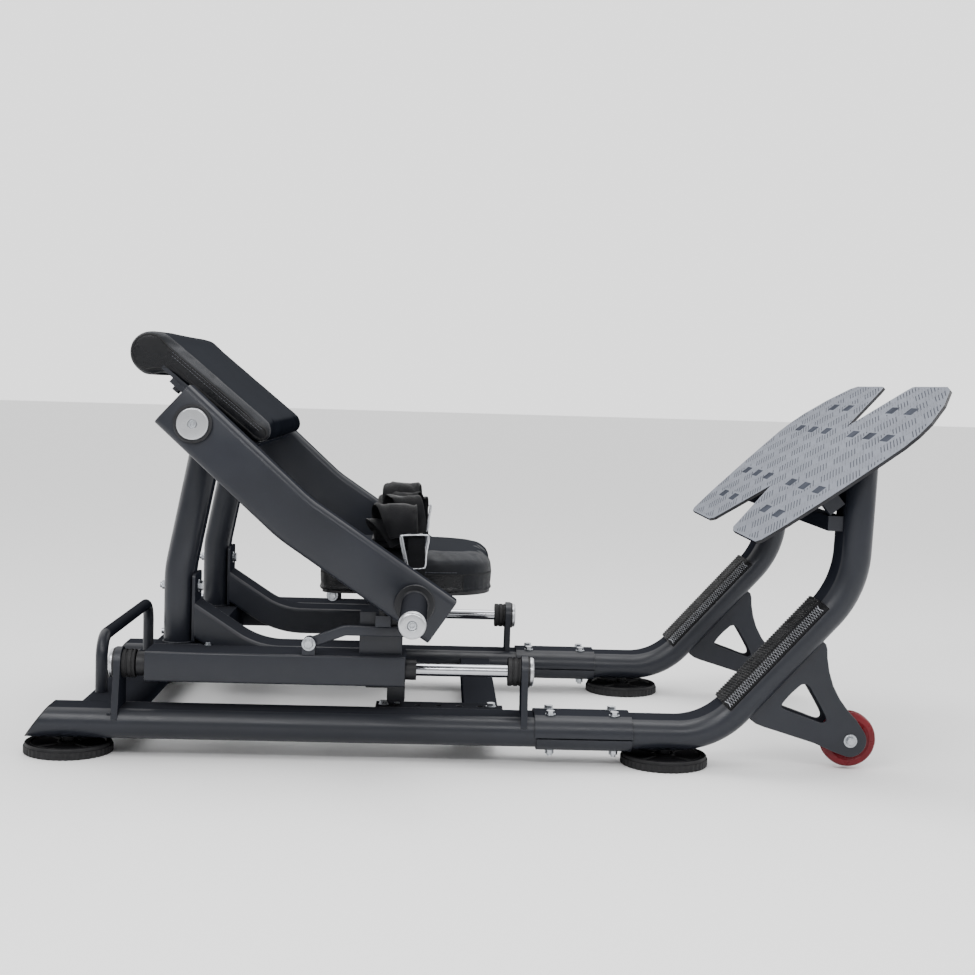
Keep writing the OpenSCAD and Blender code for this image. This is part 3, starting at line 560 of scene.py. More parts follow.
RAIL_Y, ROD_Y, SIDE_TUBE_Y, POST_Y, ARM_Y, LEVER_Y = 386, 390, 370, 269, 445, 403
POST_X, POST_FACE_X = -634, -604
DECK_Z, DECK_TUBE_Z, ROD_Z = 211, 181, 182
PIVOT_X, PIVOT_Z = -583, 664
HORN_X, HORN_Z = -148.5, 326
LEVER_X, LEVER_Z = -357, 233
WHEEL_X, WHEEL_Z = 732.5, 61.5

PLATE_TOP = Vector((919.5, 0, 777))
SLOPE = radians(39.4)
PLATE_DOWN = Vector((-cos(SLOPE), 0, -sin(SLOPE)))
PLATE_OUT = Vector((-sin(SLOPE), 0, cos(SLOPE)))


def on_plate(x, y, z):
    """x down the slope, y across, z out of the foot plate's upper face."""
    return PLATE_TOP + PLATE_DOWN * x + Vector((0, y, 0)) + PLATE_OUT * z


def make_tubes():
    r1, r2 = 160, 200
    t1, t2 = r1 * math.tan(radians(24)), r2 * math.tan(radians(20))
    rear = route(192, 67, 0, (260 - t1, 48, r1), (408 - t1 - t2, 40, r2), (240, 0, 0))

    arm_r, knee, stub = 300, 8.5, 57
    knee_cut = arm_r * math.tan(radians(knee / 2))
    heading = radians(-42.3)
    arm = route(PIVOT_X - stub * cos(heading), PIVOT_Z - stub * sin(heading), -42.3,
                (stub + 265 - knee_cut, knee, arm_r), (353 - knee_cut, 0, 0), step=1.0)

    post = route(POST_X, DECK_Z, 90, (130, -11, 200), (330, 0, 0))

    start_z, bend_r, overlap, pillar_x = 262, 190, 40, -258
    fall = radians(33)
    slant = (start_z - DECK_TUBE_Z - bend_r * (1 - cos(fall))) / sin(fall)
    level = POST_FACE_X + slant * cos(fall) + bend_r * sin(fall)
    s_path = route(POST_FACE_X - overlap * cos(fall), start_z + overlap * sin(fall), -33,
                   (slant + overlap, 33, bend_r), (pillar_x - level, 0, 0))

    lever = route(LEVER_X, LEVER_Z, 21, (70, -21, 30), (127, 0, 0))

    def one(side, s):
        skin = swept(f"rear_tube_skin_{side}", rear, obround(120, 60), s * RAIL_Y, "frame",
                     cuts=[(on_plate(0, 0, -6.5), PLATE_OUT)])
        place(skin, "base", "frame_paint", f"rear_tube_{side}")
        skin = swept(f"arm_skin_{side}", arm, soft_box(60, 100, 13), s * ARM_Y, "frame", 2)
        place(skin, "arms", "frame_paint", f"arm_{side}")
        skin = swept(f"post_skin_{side}", post, obround(100, 60), s * POST_Y, "frame", 1,
                     cuts=[((0, 0, 656), (0, 0, 1))])
        place(skin, "carriage", "frame_paint", f"post_{side}")
        skin = swept(f"s_beam_skin_{side}", s_path, soft_box(100, 60, 7), s * POST_Y, "frame", 0,
                     cuts=[((POST_FACE_X + 6, 0, 0), (-1, 0, 0))])
        place(skin, "carriage", "frame_paint", f"s_beam_{side}")
        bm = bmesh.new()
        loft(bm, [[(x, s * POST_Y + a, 282 + b) for a, b in soft_box(90, 142, 8)]
                  for x in (POST_FACE_X, POST_FACE_X + 6)])
        round_hard_edges(bm, 1)
        place(finish_mesh(bm, f"s_beam_flange_{side}", "frame"), "carriage", "frame_paint")
        skin = swept(f"side_tube_skin_{side}", [(-680, DECK_TUBE_Z, 0), (-165, DECK_TUBE_Z, 0)],
                     soft_box(100, 60, 5), s * SIDE_TUBE_Y, "frame", 1.5)
        place(skin, "carriage", "frame_paint", f"side_tube_{side}")
        skin = swept(f"release_lever_skin_{side}", lever, soft_box(16, 20, 3), s * LEVER_Y, "frame", 1.5)
        place(skin, "lever", "frame_paint", "release_lever")
        eye = turned(f"release_lever_eye_{side}", [(0.5, -8), (12, -8), (13, -7), (13, 7), (12, 8), (0.5, 8)],
                     (LEVER_X, s * LEVER_Y, LEVER_Z), (0, 1, 0), "frame", 40)
        place(eye, "lever", "frame_paint")
    both(one)
    rod = turned("release_lever_rod", [(0.5, -LEVER_Y), (6, -LEVER_Y), (6, LEVER_Y), (0.5, LEVER_Y)],
                 (-163, 0, 257), (0, 1, 0), "frame", 24)
    place(rod, "lever", "frame_paint")


# ---- turned parts ----

def cap_profile(r, h, edge, hole=8.5):
    arc = [(r - edge + edge * sin(radians(a)), h - edge + edge * cos(radians(a))) for a in range(90, -1, -15)]
    return [(0.3, 0), (r, 0)] + arc + [(hole + 1.2, h - 0.1), (hole, h - 1), (hole, h - 3.4), (0.3, h - 3.4)]


def cap_set(name, centre, axis, r, h, edge, body, ring=None):
    """An alloy cap with its socket screw, and perhaps a black ring round it."""
    c, d = Vector(centre), Vector(axis)
    place(turned(f"{name}_cap", cap_profile(r, h, edge), c, d, "alloy"), body, "alloy_cap")
    profile = [(0.3, 0), (7.6, 0), (8, 0.5), (8, 3), (7.4, 3.8), (4.6, 4.1), (4.0, 3.4), (4.0, 1.4),
               (0.3, 1.2)]
    place(turned(f"{name}_screw", profile, c + d * (h - 3.4), d, "zinc", 24), body, "zinc")
    if ring:
        r0, r1, h1 = ring
        profile = [(r0, -0.5), (r1, -0.5), (r1, h1 - 1.5), (r1 - 1.5, h1), (r0, h1), (r0 - 0.2, h1 - 1)]
        place(turned(f"{name}_ring", profile, c, d, "plastic"), body, "cap_plastic")


def make_caps():
    ridges = [(12.7, 0), (27, 0), (28.5, 1.5), (28.5, 8), (27, 9.5), (27, 11), (28.5, 12.5), (28.5, 19),
              (27, 20.5), (27, 22), (28.5, 23), (28.5, 25.5), (27, 27), (12.7, 27)]
    horn = [(20, -68), (25, -68), (25, 0), (25, 4), (38, 4), (39, 5), (39, 11), (38, 12), (27.5, 12),
            (25, 14.5), (25, 268), (24, 269), (20, 269)]

    def one(side, s):
        outward = (0, s, 0)
        cap_set(f"pivot_{side}", (PIVOT_X, s * 477, PIVOT_Z), outward, 31, 9, 3, "arms", (31.4, 37.5, 4))
        cap_set(f"horn_{side}", (HORN_X, s * 744, HORN_Z), outward, 25, 12, 7, "arms")
        for end, x, d in (("front", -739.5, -1), ("rear", 80, 1)):
            cap_set(f"rod_{end}_{side}", (x, s * ROD_Y, ROD_Z), (d, 0, 0), 29, 12, 4, "base", (29.3, 31, 5))
        for end, x in (("front", -726.5), ("rear", 40)):
            bumper = turned(f"bumper_{end}_{side}", ridges, (x, s * ROD_Y, ROD_Z), (1, 0, 0), "rubber")
            place(bumper, "base", "rubber")
        skin = turned(f"horn_skin_{side}", horn, (HORN_X, s * 475, HORN_Z), outward, "dark")
        place(skin, "arms", "dark_steel", f"weight_horn_{side}")
        for end, x in (("front", -835), ("rear", 362)):
            foot(f"foot_{end}_{side}", x, s * 380)
        wheel(side, s)
    both(one)
    for group, like in (("pivot_caps", "pivot_near_cap"), ("horn_caps", "horn_near_cap"),
                        ("rod_end_caps", "rod_front_near_cap"), ("bumpers", "bumper_front_near"),
                        ("foot_pads", "foot_front_near")):
        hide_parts(group)


def foot(name, x, y):
    """A round rubber foot with a serrated rim and four ribs."""
    teeth_around = 46

    def teeth(a, r, d):
        if r <= 84 or d >= 15:
            return 0
        wave = sin(teeth_around * a)
        return -1.6 * (0.5 + 0.5 * math.copysign(min(1, abs(wave) * 1.6), wave))
    profile = [(0.5, 0), (80, 0), (86, 0), (88, 1.2), (88, 14), (87.6, 15), (85.5, 16), (85.5, 20), (84, 22),
               (76, 22), (74, 21), (73, 17.5), (30, 17.5), (24, 18.5), (19, 22), (0.5, 22)]
    place(turned(name, profile, (x, y, 0), (0, 0, 1), "rubber", 276, teeth, 30), "base", "rubber")
    rib = [(-2, 17), (-1.4, 20.4), (1.4, 20.4), (2, 17)]
    bm = bmesh.new()
    for k in range(4):
        a = math.pi / 4 + k * math.pi / 2
        loft(bm, [[(x + d * cos(a) - q * sin(a), y + d * sin(a) + q * cos(a), z) for q, z in rib]
                  for d in (24, 75)])
    place(finish_mesh(bm, name + "_ribs", "rubber"), "base", "rubber")


def wheel(side, s):
    c, body = (WHEEL_X, s * RAIL_Y, WHEEL_Z), f"wheel_{side}"
    crown = [(40, -15), (42, -16.2), (52, -15.5), (54.6, -13), (55.7, -8), (56, 0), (55.7, 8), (54.6, 13),
             (52, 15.5), (42, 16.2), (40, 15), (39.9, 0)]
    place(turned(f"tyre_skin_{side}", crown, c, (0, 1, 0), "tyre", 96), body, "red_tyre", f"tyre_{side}")
    hub = [(6.1, -18), (13, -18), (14, -17), (16, -8), (34, -7), (36, -14.6), (39.8, -15), (39.8, 15),
           (36, 14.6), (34, 7), (16, 8), (14, 17), (13, 18), (6.1, 18)]
    place(turned(f"hub_skin_{side}", hub, c, (0, 1, 0), "zinc", 96), body, "zinc", f"hub_{side}")


def fork_outline():
    """The wheel fork's side outline, with rounded corners, and its three-cornered window."""
    lobe = [(WHEEL_X + 33 * cos(radians(a)), WHEEL_Z + 33 * sin(radians(a))) for a in range(-112, 36, 8)]
    back = [(745, 102), (726, 122), (708, 146), (694, 172), (685, 200), (680, 228), (679, 246), (676, 256),
            (668, 263), (656, 262), (636, 250)]
    front = [(560, 165), (532, 128), (526, 112), (529, 100), (540, 92), (556, 86), (600, 73), (660, 55),
             (700, 38)]
    window = [(591, 130), (600, 122), (640, 108), (668, 98), (679, 98), (682, 106), (672, 126), (654, 156),
              (643, 172), (632, 174), (622, 167), (604, 149)]
    return lobe + back + front, [tuple(p)[:2] for p in catmull([(x, z, 0) for x, z in window], 4, True)]


def make_hardware():
    outer, window = fork_outline()
    hole = [(WHEEL_X + 6.3 * cos(radians(a)), WHEEL_Z + 6.3 * sin(radians(a))) for a in range(0, 360, 20)]
    seat_bolt_x, seat_bolt_z = -328, 297

    def one(side, s):
        outward = (0, s, 0)
        for k, y in (("in", RAIL_Y - 28), ("out", RAIL_Y + 20)):
            bm = bmesh.new()
            flat_plate(bm, [outer, window, hole], 8, 1.2, lambda x, y2, t: (x, s * (y + t), y2))
            plate = place(finish_mesh(bm, f"fork_plate_{k}_{side}", "frame"), "base", "frame_paint")
            if k == "out":
                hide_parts(f"wheel_bracket_{side}")
        hex_head(f"axle_nut_{side}", (WHEEL_X, s * 414.2, WHEEL_Z), outward, 16, 8, "base")
        eye = turned(f"axle_eye_{side}", [(6, 0), (12.6, 0), (13.4, 0.8), (13.4, 2), (6, 2)],
                     (WHEEL_X, s * 414, WHEEL_Z), outward, "zinc", 40)
        place(eye, "base", "zinc")
        hex_head(f"lever_bolt_{side}", (LEVER_X, s * 417, LEVER_Z), outward, 17, 7, "carriage")
        barrel = [(5.2, -8.6), (10.5, -8.6), (11, -8), (11, 8), (10.5, 8.6), (5.2, 8.6)]
        place(turned(f"lever_barrel_{side}", barrel, (LEVER_X, s * LEVER_Y, LEVER_Z), outward, "zinc", 32),
              "carriage", "zinc")
        hex_head(f"seat_bolt_{side}", (seat_bolt_x, s * 167, seat_bolt_z), outward, 15, 7, "carriage")
        lug = [(0.5, -10), (12, -10), (13, -9), (13, 0), (12, 1), (0.5, 1)]
        place(turned(f"seat_lug_{side}", lug, (seat_bolt_x, s * 166, seat_bolt_z), outward, "dark", 40),
              "carriage", "dark_steel")
        hex_head(f"deck_bolt_{side}", (-568, s * 330, DECK_Z), (0, 0, 1), 9, 4, "carriage")
        weld(f"post_weld_{side}", [(POST_X + a, s * POST_Y + b, 212.5) for b, a in obround(102, 62, 8)],
             "carriage")
        weld(f"bracket_weld_{side}", [(-748, s * 440, 90), (-731, s * 440, 90)], "base")
    both(one)


# ---- soft parts ----

def inflate(obj, voxel, cap, still=None):
    """Swells a pad by cloth pressure: voxel in metres, cap is how far a point may move."""
    def take_result():
        me = bpy.data.meshes.new_from_object(obj.evaluated_get(bpy.context.evaluated_depsgraph_get()))
        obj.modifiers.clear()
        mats = list(obj.data.materials)
        obj.data = me
        me.materials.clear()
        for m in mats:
            me.materials.append(m)

    remesh = obj.modifiers.new("Remesh", "REMESH")
    remesh.mode, remesh.voxel_size = "VOXEL", voxel
    take_result()
    start = [v.co.copy() for v in obj.data.vertices]
    cloth = obj.modifiers.new("Cloth", "CLOTH")
    cloth.settings.use_pressure = True
    cloth.settings.uniform_pressure_force = 4
    cloth.settings.effector_weights.gravity = 0
    cloth.point_cache.frame_start, cloth.point_cache.frame_end = 1, 20
    for f in range(1, 21):
        scene.frame_set(f)
    take_result()
    scene.frame_set(1)
    for v, a in zip(obj.data.vertices, start):
        move = v.co - a
        far = cap * (1 if still is None else still(a))
        if move.length > far:
            v.co = a + move * (far / move.length)
    obj.modifiers.new("Smooth", "SMOOTH").iterations = 3
    obj.modifiers.new("Subdivision", "SUBSURF").levels = 1
    take_result()
    for p in obj.data.polygons:
        p.use_smooth = True


def surface(obj):
    """A finished pad's surface, for laying things on it."""
    return BVHTree.FromObject(obj, bpy.context.evaluated_depsgraph_get())


def laid_on(tree, points, lift, aim=None):
    """Points moved onto a pad's surface, in millimetres: along aim, or to the nearest place."""
    out = []
    for p in points:
        q = Vector(p) / 1000
        if aim is None:
            hit, nor = tree.find_nearest(q)[:2]
        else:
            hit, nor = tree.ray_cast(q, Vector(aim))[:2]
        if hit is not None:
            out.append((hit * 1000 + nor * lift, nor))
    return out


def bead(name, tree, points, r, lift, mat, body, slot, aim=None, closed=False):
    """A round cord laid on a pad, its centre lifted from the surface."""
    pts = [p for p, _ in laid_on(tree, points, lift, aim)]
    bm = bmesh.new()
    wire(bm, pts, r, 8, closed)
    return place(finish_mesh(bm, name, mat), body, slot)


def stitches(name, tree, rows, length, gap, r, body, aim=None):
    """Short threads laid along rows of points on a pad."""
    bm = bmesh.new()
    for row in rows:
        pts = laid_on(tree, row, 0.1, aim)
        total, mark = [0.0], 0.0
        for (a, _), (b, _) in zip(pts, pts[1:]):
            total.append(total[-1] + (b - a).length)

        def at(d):
            k = next((i for i in range(1, len(total)) if total[i] >= d), len(total) - 1)
            f = (d - total[k - 1]) / max(1e-6, total[k] - total[k - 1])
            return pts[k - 1][0].lerp(pts[k][0], min(1, f)), pts[k][1]
        while mark + length < total[-1]:
            (p, n), (q, _) = at(mark), at(mark + length)
            wire(bm, [p - n * r, p.lerp(q, 0.2) + n * r * 0.9, p.lerp(q, 0.8) + n * r * 0.9, q - n * r], r, 5)
            mark += length + gap
    return place(finish_mesh(bm, name, "thread"), body, "black_leather")


PAD_TOP = Vector((-661, 0, 832.5))
PAD_SLOPE = radians(39.4)


def on_pad(x, y, z):
    """x down the back pad's slope, y across, z out of its face."""
    return (PAD_TOP.x + x * cos(PAD_SLOPE) + z * sin(PAD_SLOPE), y,
            PAD_TOP.z - x * sin(PAD_SLOPE) + z * cos(PAD_SLOPE))


def pad_outline(inset):
    """Side outline of the back pad (x down the slope, z out), with its rolled upper edge."""
    r = 44.5 - inset
    end = 294 - inset
    roll = [(-6 + r * cos(radians(a)), -43.5 + r * sin(radians(a))) for a in range(90, 316, 15)]
    low = [(40, -52 + inset * 0.4), (62, -47 + inset), (262, -47 + inset), (280, -43 + inset),
           (end - 1, -30), (end, -18)]
    nose = [(end - 20 + 20 * cos(radians(a)), -20 - inset + 20 * sin(radians(a))) for a in range(15, 91, 15)]
    top = [(250 - 28 * k, -inset) for k in range(0, 9)]
    return roll + low + nose + top


def second_leather(obj, where):
    """Faces picked by where() get a darker, glossier leather."""
    obj.data.materials.append(MATS["leather_side"])
    for f in obj.data.polygons:
        if where(f.center * 1000, f.normal):
            f.material_index = 1


def make_back_pad():
    half = 350  # half of its width
    bm = bmesh.new()
    rings = []
    for y, inset in ((-half + 2, 18), (-half + 3, 9), (-half + 7, 5), (-half + 14, 3), (-200, 2), (0, 2),
                     (200, 2), (half - 14, 3), (half - 7, 5), (half - 3, 9), (half - 2, 18)):
        rings.append([on_pad(x, y, z) for x, z in pad_outline(inset)])
    loft(bm, rings)
    pad = finish_mesh(bm, "back_cushion", "leather")
    flat = Vector(on_pad(0, 0, -44)) / 1000
    out = Vector((sin(PAD_SLOPE), 0, cos(PAD_SLOPE)))

    def still(p):
        return 0.12 if (p - flat).dot(out) < 0 and p.x > -0.62 else 1
    inflate(pad, 0.005, 0.007, still)
    place(pad, "arms", "black_leather", "back_pad")
    second_leather(pad, lambda p, n: abs(n.y) > 0.75)
    tree = surface(pad)
    for side, s in (("near", -1), ("far", 1)):
        rim = [on_pad(x, s * half, z) for x, z in pad_outline(8)]
        bead(f"back_cushion_welt_{side}", tree, catmull(rim, 4, True), 2.0, -0.4, "seam", "arms",
             "black_leather", closed=True)
        outside = s * 420
        seam = [on_pad(x, outside, -17.5) for x in range(20, 276, 4)]
        rows = [[on_pad(x, outside, z) for x in range(x0, x1, 4)]
                for x0, x1, z in ((30, 272, -14.5), (34, 268, -20.5))]
        bead(f"back_cushion_seam_{side}", tree, seam, 0.8, -0.2, "seam", "arms", "black_leather",
             aim=(0, -s, 0))
        stitches(f"back_cushion_stitches_{side}", tree, rows, 4.2, 2.2, 0.55, "arms", aim=(0, -s, 0))


def seat_outline(inset, n=14):
    """Seat outline seen from above: square back corners and a round nose."""
    x0, x1, h = -365 + inset, 24 - inset, 210 - inset
    rb, rn = 30, 125 - inset * 0.5
    pts = [(x0 + rb - rb * cos(radians(a)), -h + rb - rb * sin(radians(a))) for a in range(0, 91, 18)]
    pts += [(x1 - rn + rn * sin(radians(a)), -h + rn - rn * cos(radians(a)))
            for a in range(0, 91, 90 // n + 1)]
    return pts + [(x, -y) for x, y in pts[::-1]]


def make_seat():
    top, t, seam_z = 394, 86, 350
    bm = bmesh.new()
    levels = ((top - t + 1, 13), (top - t + 5, 8), (top - t + 16, 5), (top - 48, 4), (top - 26, 6),
              (top - 14, 12), (top - 7, 26), (top - 4.5, 60), (top - 4, 130))
    loft(bm, [[(x, y, z) for x, y in seat_outline(i)] for z, i in levels])
    seat = finish_mesh(bm, "seat_cushion", "leather")
    inflate(seat, 0.0055, 0.009, lambda p: 0.15 if p.z < 0.318 else 1)
    second_leather(seat, lambda p, n: p.z < seam_z and p.x < -50 and abs(n.z) < 0.8 and abs(p.y) > 150)
    place(seat, "carriage", "black_leather", "seat_pad")
    tree = surface(seat)
    rim = [(x, y, seam_z) for x, y in seat_outline(0)]
    bead("seat_cushion_seam", tree, catmull(rim, 3, True), 1.5, -0.3, "seam", "carriage", "black_leather",
         closed=True)
    for side, s in (("near", -1), ("far", 1)):
        edge = [(-50, s * 260, seam_z - k) for k in range(0, 36, 3)]
        bead(f"seat_cushion_nose_seam_{side}", tree, edge, 1.4, -0.3, "seam", "carriage", "black_leather",
             aim=(0, -s, 0))
        row = [(x, s * 260, seam_z + 5) for x in range(-330, -60, 3)]
        stitches(f"seat_cushion_stitches_{side}", tree, [row], 4.2, 2.2, 0.5, "carriage", aim=(0, -s, 0))


def ribbon(bm, spine, widths, t, lean=0.0, ruffle=0.0, seed=0.0, n=18):
    """A folded strap along a spine in Y-Z: its width lies along X, with the wrinkles of soft cloth."""
    pts = catmull(spine, 7)
    m = len(pts)
    rings = []
    for i, p in enumerate(pts):
        a, b = pts[max(0, i - 1)], pts[min(m - 1, i + 1)]
        tan = (b - a).normalized()
        u = i / (m - 1)
        if len(widths) == 2:
            w = widths[0] + (widths[1] - widths[0]) * u
        else:
            w = widths[0] * (1 - u) * (1 - 2 * u) + 4 * widths[1] * u * (1 - u) + widths[2] * u * (2 * u - 1)
        across = (Vector((1, 0, 0)) + lean * Vector((0, tan.y, tan.z))).normalized()
        across = (across - tan * across.dot(tan)).normalized()
        nor = tan.cross(across).normalized()
        ring = []
        for k in range(n):
            c = 2 * math.pi * k / n
            v, h = cos(c), sin(c)
            v = math.copysign(abs(v) ** 0.55, v)
            wrinkle = ruffle * (sin(9 * v + 14 * u + seed) * 0.6 + sin(17 * v - 9 * u + 2 * seed) * 0.35
                                + sin(4 * v + 31 * u + seed) * 0.3)
            ring.append(p + across * (v * w / 2) + nor * (h * t / 2 + wrinkle * (1 - 0.3 * abs(v))))
        rings.append(ring)
    loft(bm, rings)


def make_belt():
    bm = bmesh.new()
    ribbon(bm, [(-196, -235, 420), (-196, -120, 412), (-197, 0, 410), (-196, 120, 412), (-196, 235, 420)],
           (104, 112, 104), 24, 0, 2.2, 0.4, 26)
    pad = finish_mesh(bm, "hip_belt_pad", "belt", 60)
    pad.modifiers.new("Subdivision", "SUBSURF").levels = 1
    place(pad, "arms", "belt_webbing", "hip_belt")

    def one(side, s):
        bm = bmesh.new()
        ribbon(bm, [(-190, s * 225, 420), (-191, s * 262, 432), (-196, s * 292, 470), (-198, s * 320, 500),
                    (-190, s * 358, 506), (-182, s * 386, 482), (-174, s * 396, 450)],
               (96, 88, 56), 7, 0.25, 3.4, 1.1)
        place(finish_mesh(bm, f"hip_belt_flap_{side}", "belt", 60), "arms", "belt_webbing")
        bm = bmesh.new()
        peak = 520 if s < 0 else 488
        ribbon(bm, [(-198, s * 236, 424), (-200, s * 250, 464), (-192, s * 262, peak - 8),
                    (-180, s * 282, peak), (-168, s * 300, peak - 10), (-158, s * 318, 474),
                    (-154, s * 330, 450)],
               (50, 58, 46), 4, 0.1, 1.8, 2.3)
        place(finish_mesh(bm, f"hip_belt_loop_{side}", "belt", 60), "arms", "belt_webbing")
        bm = bmesh.new()
        ribbon(bm, [(-226, s * 250, 440), (-238, s * 300, 462), (-236, s * 345, 478), (-214, s * 372, 466),
                    (-190, s * 384, 430)], (26, 30, 24), 3, 0.0, 1.0, 4.0)
        place(finish_mesh(bm, f"hip_belt_tail_{side}", "belt", 60), "arms", "belt_webbing")
        bm = bmesh.new()
        ribbon(bm, [(-150, s * 396, 452), (-149, s * 400, 424), (-147, s * 402, 392), (-146, s * 404, 372)],
               (36, 32), 4, 0, 0.5, 1.7)
        place(finish_mesh(bm, f"hip_belt_strap_{side}", "belt", 60), "arms", "belt_webbing")
        bm = bmesh.new()
        for k in (0, 1):
            y = s * (398 + 5 * k)
            corners = [(-181 + 4 * k, y, 446), (-176, y, 452), (-133, y, 453), (-127 + 2 * k, y, 448),
                       (-131 + 2 * k, y, 420), (-133 + 2 * k, y, 392), (-138, y, 387), (-162, y, 387),
                       (-168 + 3 * k, y, 392), (-176 + 4 * k, y, 422)]
            wire(bm, catmull(corners, 5, True), 2.1, 10, True)
        place(finish_mesh(bm, f"hip_belt_ring_{side}", "chrome"), "arms", "belt_webbing")
        bm = bmesh.new()
        loft(bm, [[(-161 + a, s * y, 371 + b) for a, b in soft_box(24, 22, 4)] for y in (402, 415)])
        round_hard_edges(bm, 1.5)
        place(finish_mesh(bm, f"hip_belt_block_{side}", "alloy"), "arms", "alloy_cap")
    both(one)


def make_mats():
    """Grip mats: a coarse weave of raised knots, with a cross lattice along both edges."""
    h0 = radians(48)
    along = Vector((cos(h0), 0, sin(h0)))
    up = Vector((-sin(h0), 0, cos(h0)))

    def one(side, s):
        start = Vector((452, s * RAIL_Y, 67)) + along * 62
        bm = bmesh.new()
        n_u, n_v, length, wrap = 194, 78, 282, 128
        half_arc = []
        for j in range(n_v + 1):
            d = -wrap / 2 + wrap * j / n_v
            if abs(d) <= 30:
                half_arc.append((d, 31, 0))
            else:
                a = min((abs(d) - 30) / 32, 1.2)
                half_arc.append((math.copysign(30 + 31 * sin(a), d), 31 * cos(a), math.copysign(a, d)))
        rows = []
        for i in range(n_u + 1):
            u = length * i / n_u
            row = []
            for j, (y, z, a) in enumerate(half_arc):
                v = wrap * j / n_v
                shift = 1.6 if int(v / 8) % 2 else 0
                knot = abs(sin(math.pi * (u + 0.5 * v) / 5.9 + shift)) * abs(sin(math.pi * v / 8))
                if min(v, wrap - v) < 26:
                    knot = 0.2
                t = 3.0 + 4.0 * knot + 0.5 * sin(u * 1.7 + v * 2.3) * sin(v * 1.1 - u * 0.6)
                if i in (0, n_u) or j in (0, n_v):
                    t = 0.2
                p = start + along * u + Vector((0, y + sin(a) * t, 0)) + up * (z + cos(a) * t)
                row.append(bm.verts.new(p))
            rows.append(row)
        for a, b in zip(rows, rows[1:]):
            for j in range(n_v):
                bm.faces.new((a[j], a[j + 1], b[j + 1], b[j]))
        under = [[bm.verts.new(start + along * (length * i / 8) + Vector((0, y, 0)) + up * (z - 1.2))
                  for y, z, _ in half_arc[::6] + [half_arc[-1]]] for i in range(9)]
        for a, b in zip(under, under[1:]):
            for j in range(len(a) - 1):
                bm.faces.new((a[j], b[j], b[j + 1], a[j + 1]))
        place(finish_mesh(bm, f"grip_mat_skin_{side}", "mat", 70), "base", "grip_weave", f"grip_mat_{side}")
        # The edge lattice is real; its light grey thread is a painted highlight for the glints on the shiny
        # mat.
        bm = bmesh.new()
        for edge in (-1, 1):
            for phase in (0, 1):
                line = []
                for k in range(int(270 / 5.5)):
                    a = 0.45 + (0.5 if (k + phase) % 2 else 0.0)
                    t = 4.6 + (0.8 if k % 2 == phase else 0)
                    aside = Vector((0, edge * (30 + (31 + t) * sin(a)), 0))
                    line.append(start + along * (6 + 5.5 * k) + aside + up * ((31 + t) * cos(a)))
                wire(bm, line, 0.95, 5)
        place(finish_mesh(bm, f"grip_mat_lattice_{side}", "glint_lattice", 70), "base", "grip_weave")
    both(one)


# ---- foot plate ----

# The plate's outline in millimetres, x down the plate and y across it, the rows of its slots, a slot's size
HALF_EDGE = [(149, 0), (18, 96), (2, 112), (0, 130), (0, 345), (10, 385), (58, 466), (112, 522), (150, 541),
             (186, 545), (246, 527), (318, 502), (388, 471), (440, 447), (496, 412), (505, 390), (505, 152),
             (497, 120), (360, 0)]
HOLE_ROWS = ((83, (182, 316)), (168, (120, 250, 381)), (338, (120, 245, 370)), (424, (182, 308)))
SLOT = (21, 59)


def in_plate(x, y, margin):
    """True where a point is on the plate, a margin away from its edge and from its slots."""
    y = abs(y)
    inside, m = False, len(HALF_EDGE)
    for k in range(m):
        (x0, y0), (x1, y1) = HALF_EDGE[k], HALF_EDGE[(k + 1) % m]
        if (y0 > y) != (y1 > y) and x < (x1 - x0) * (y - y0) / (y1 - y0) + x0:
            inside = not inside
        if k == m - 1:
            continue
        dx, dy = x1 - x0, y1 - y0
        t = max(0, min(1, ((x - x0) * dx + (y - y0) * dy) / (dx * dx + dy * dy)))
        if math.hypot(x - x0 - t * dx, y - y0 - t * dy) < margin:
            return False
    for hx, ys in HOLE_ROWS:
        for hy in ys:
            if abs(x - hx) < SLOT[0] / 2 + margin and abs(y - hy) < SLOT[1] / 2 + margin:
                return False
    return inside


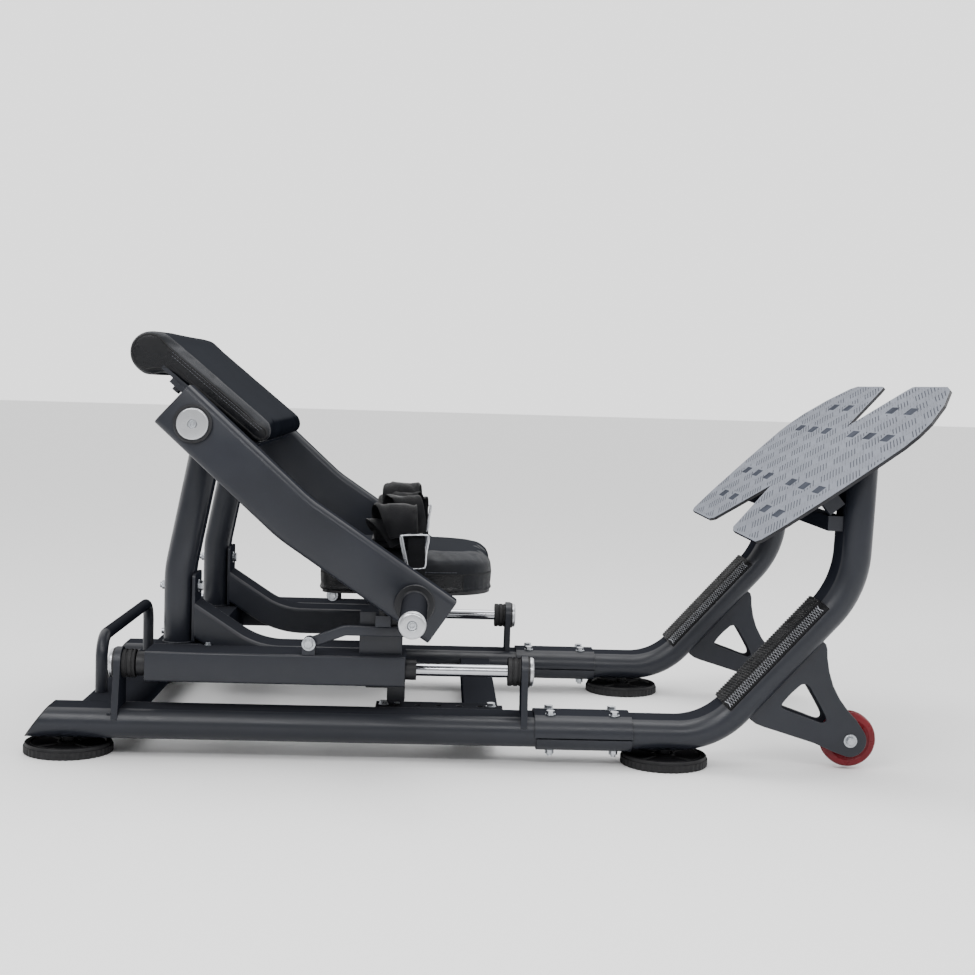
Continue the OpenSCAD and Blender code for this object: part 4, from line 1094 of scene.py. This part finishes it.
def make_plate_tread():
    """A grey tread sheet on the plate, and raised hatch strokes grouped in lozenges."""
    bm = bmesh.new()
    edge = HALF_EDGE + [(x, -y) for x, y in HALF_EDGE[-2:0:-1]]
    holes = [[(hx + a, t * hy + b) for a, b in soft_box(*SLOT, 2, 2)] for hx, ys in HOLE_ROWS for hy in ys
             for t in (-1, 1)]
    flat_plate(bm, [edge] + holes, 1.2, 0.5, lambda x, y, z: on_plate(x, y, z + 0.05))
    sheet = place(finish_mesh(bm, "tread_sheet", "plate", 30), "base", "tread_plate")
    for f in sheet.data.polygons:
        f.use_smooth = False
    row_pitch, pitch, count, step, lean = 54.0, 132.0, 8, 5.6, 0.32
    for mat, phase in (("mark", 0.0), ("plate", 0.5)):
        bm = bmesh.new()
        for i in range(-1, 11):
            for j in range(-5, 6):
                mx, my = 22 + i * row_pitch, (j + phase + (0.5 if i % 2 else 0)) * pitch
                for k in range(count):
                    q = k - (count - 1) / 2
                    cx, cy = mx + q * step, my + q * 6.5
                    half = 29 - 1.6 * abs(q)
                    ends = [(cx + half * lean * e, cy - half * e) for e in (-1, -0.5, 0, 0.5, 1)]
                    ends = [e for e in ends if in_plate(*e, 4)]
                    if len(ends) < 2:
                        continue
                    side = Vector((1, lean)).normalized() * 1.1
                    loft(bm, [[on_plate(px + side.x * f, py + side.y * f, z)
                               for f, z in ((-1, 1.15), (-0.5, 1.9), (0.5, 1.9), (1, 1.15))]
                              for px, py in (ends[0], ends[-1])])
        place(finish_mesh(bm, "tread_strokes_" + mat, mat, 30), "base", "tread_plate")
    # Dark slabs filling the slots: painted shade for the dark openings seen through the plate.
    bm = bmesh.new()
    slot_shade_outline = soft_box(SLOT[0] - 0.4, SLOT[1] - 0.4, 1, 2)
    for hx, ys in HOLE_ROWS:
        for hy in ys:
            for t in (-1, 1):
                loft(bm, [[on_plate(hx + a, t * hy + b, z) for a, b in slot_shade_outline] for z in (-2.5, 0.6)])
    place(finish_mesh(bm, "tread_slot_shade", "mark", 30), "base", "tread_plate")


make_camera()
make_studio()
dress_cad_nodes()
make_tubes()
make_caps()
make_hardware()
make_plate_tread()
make_mats()
make_back_pad()
make_seat()
make_belt()
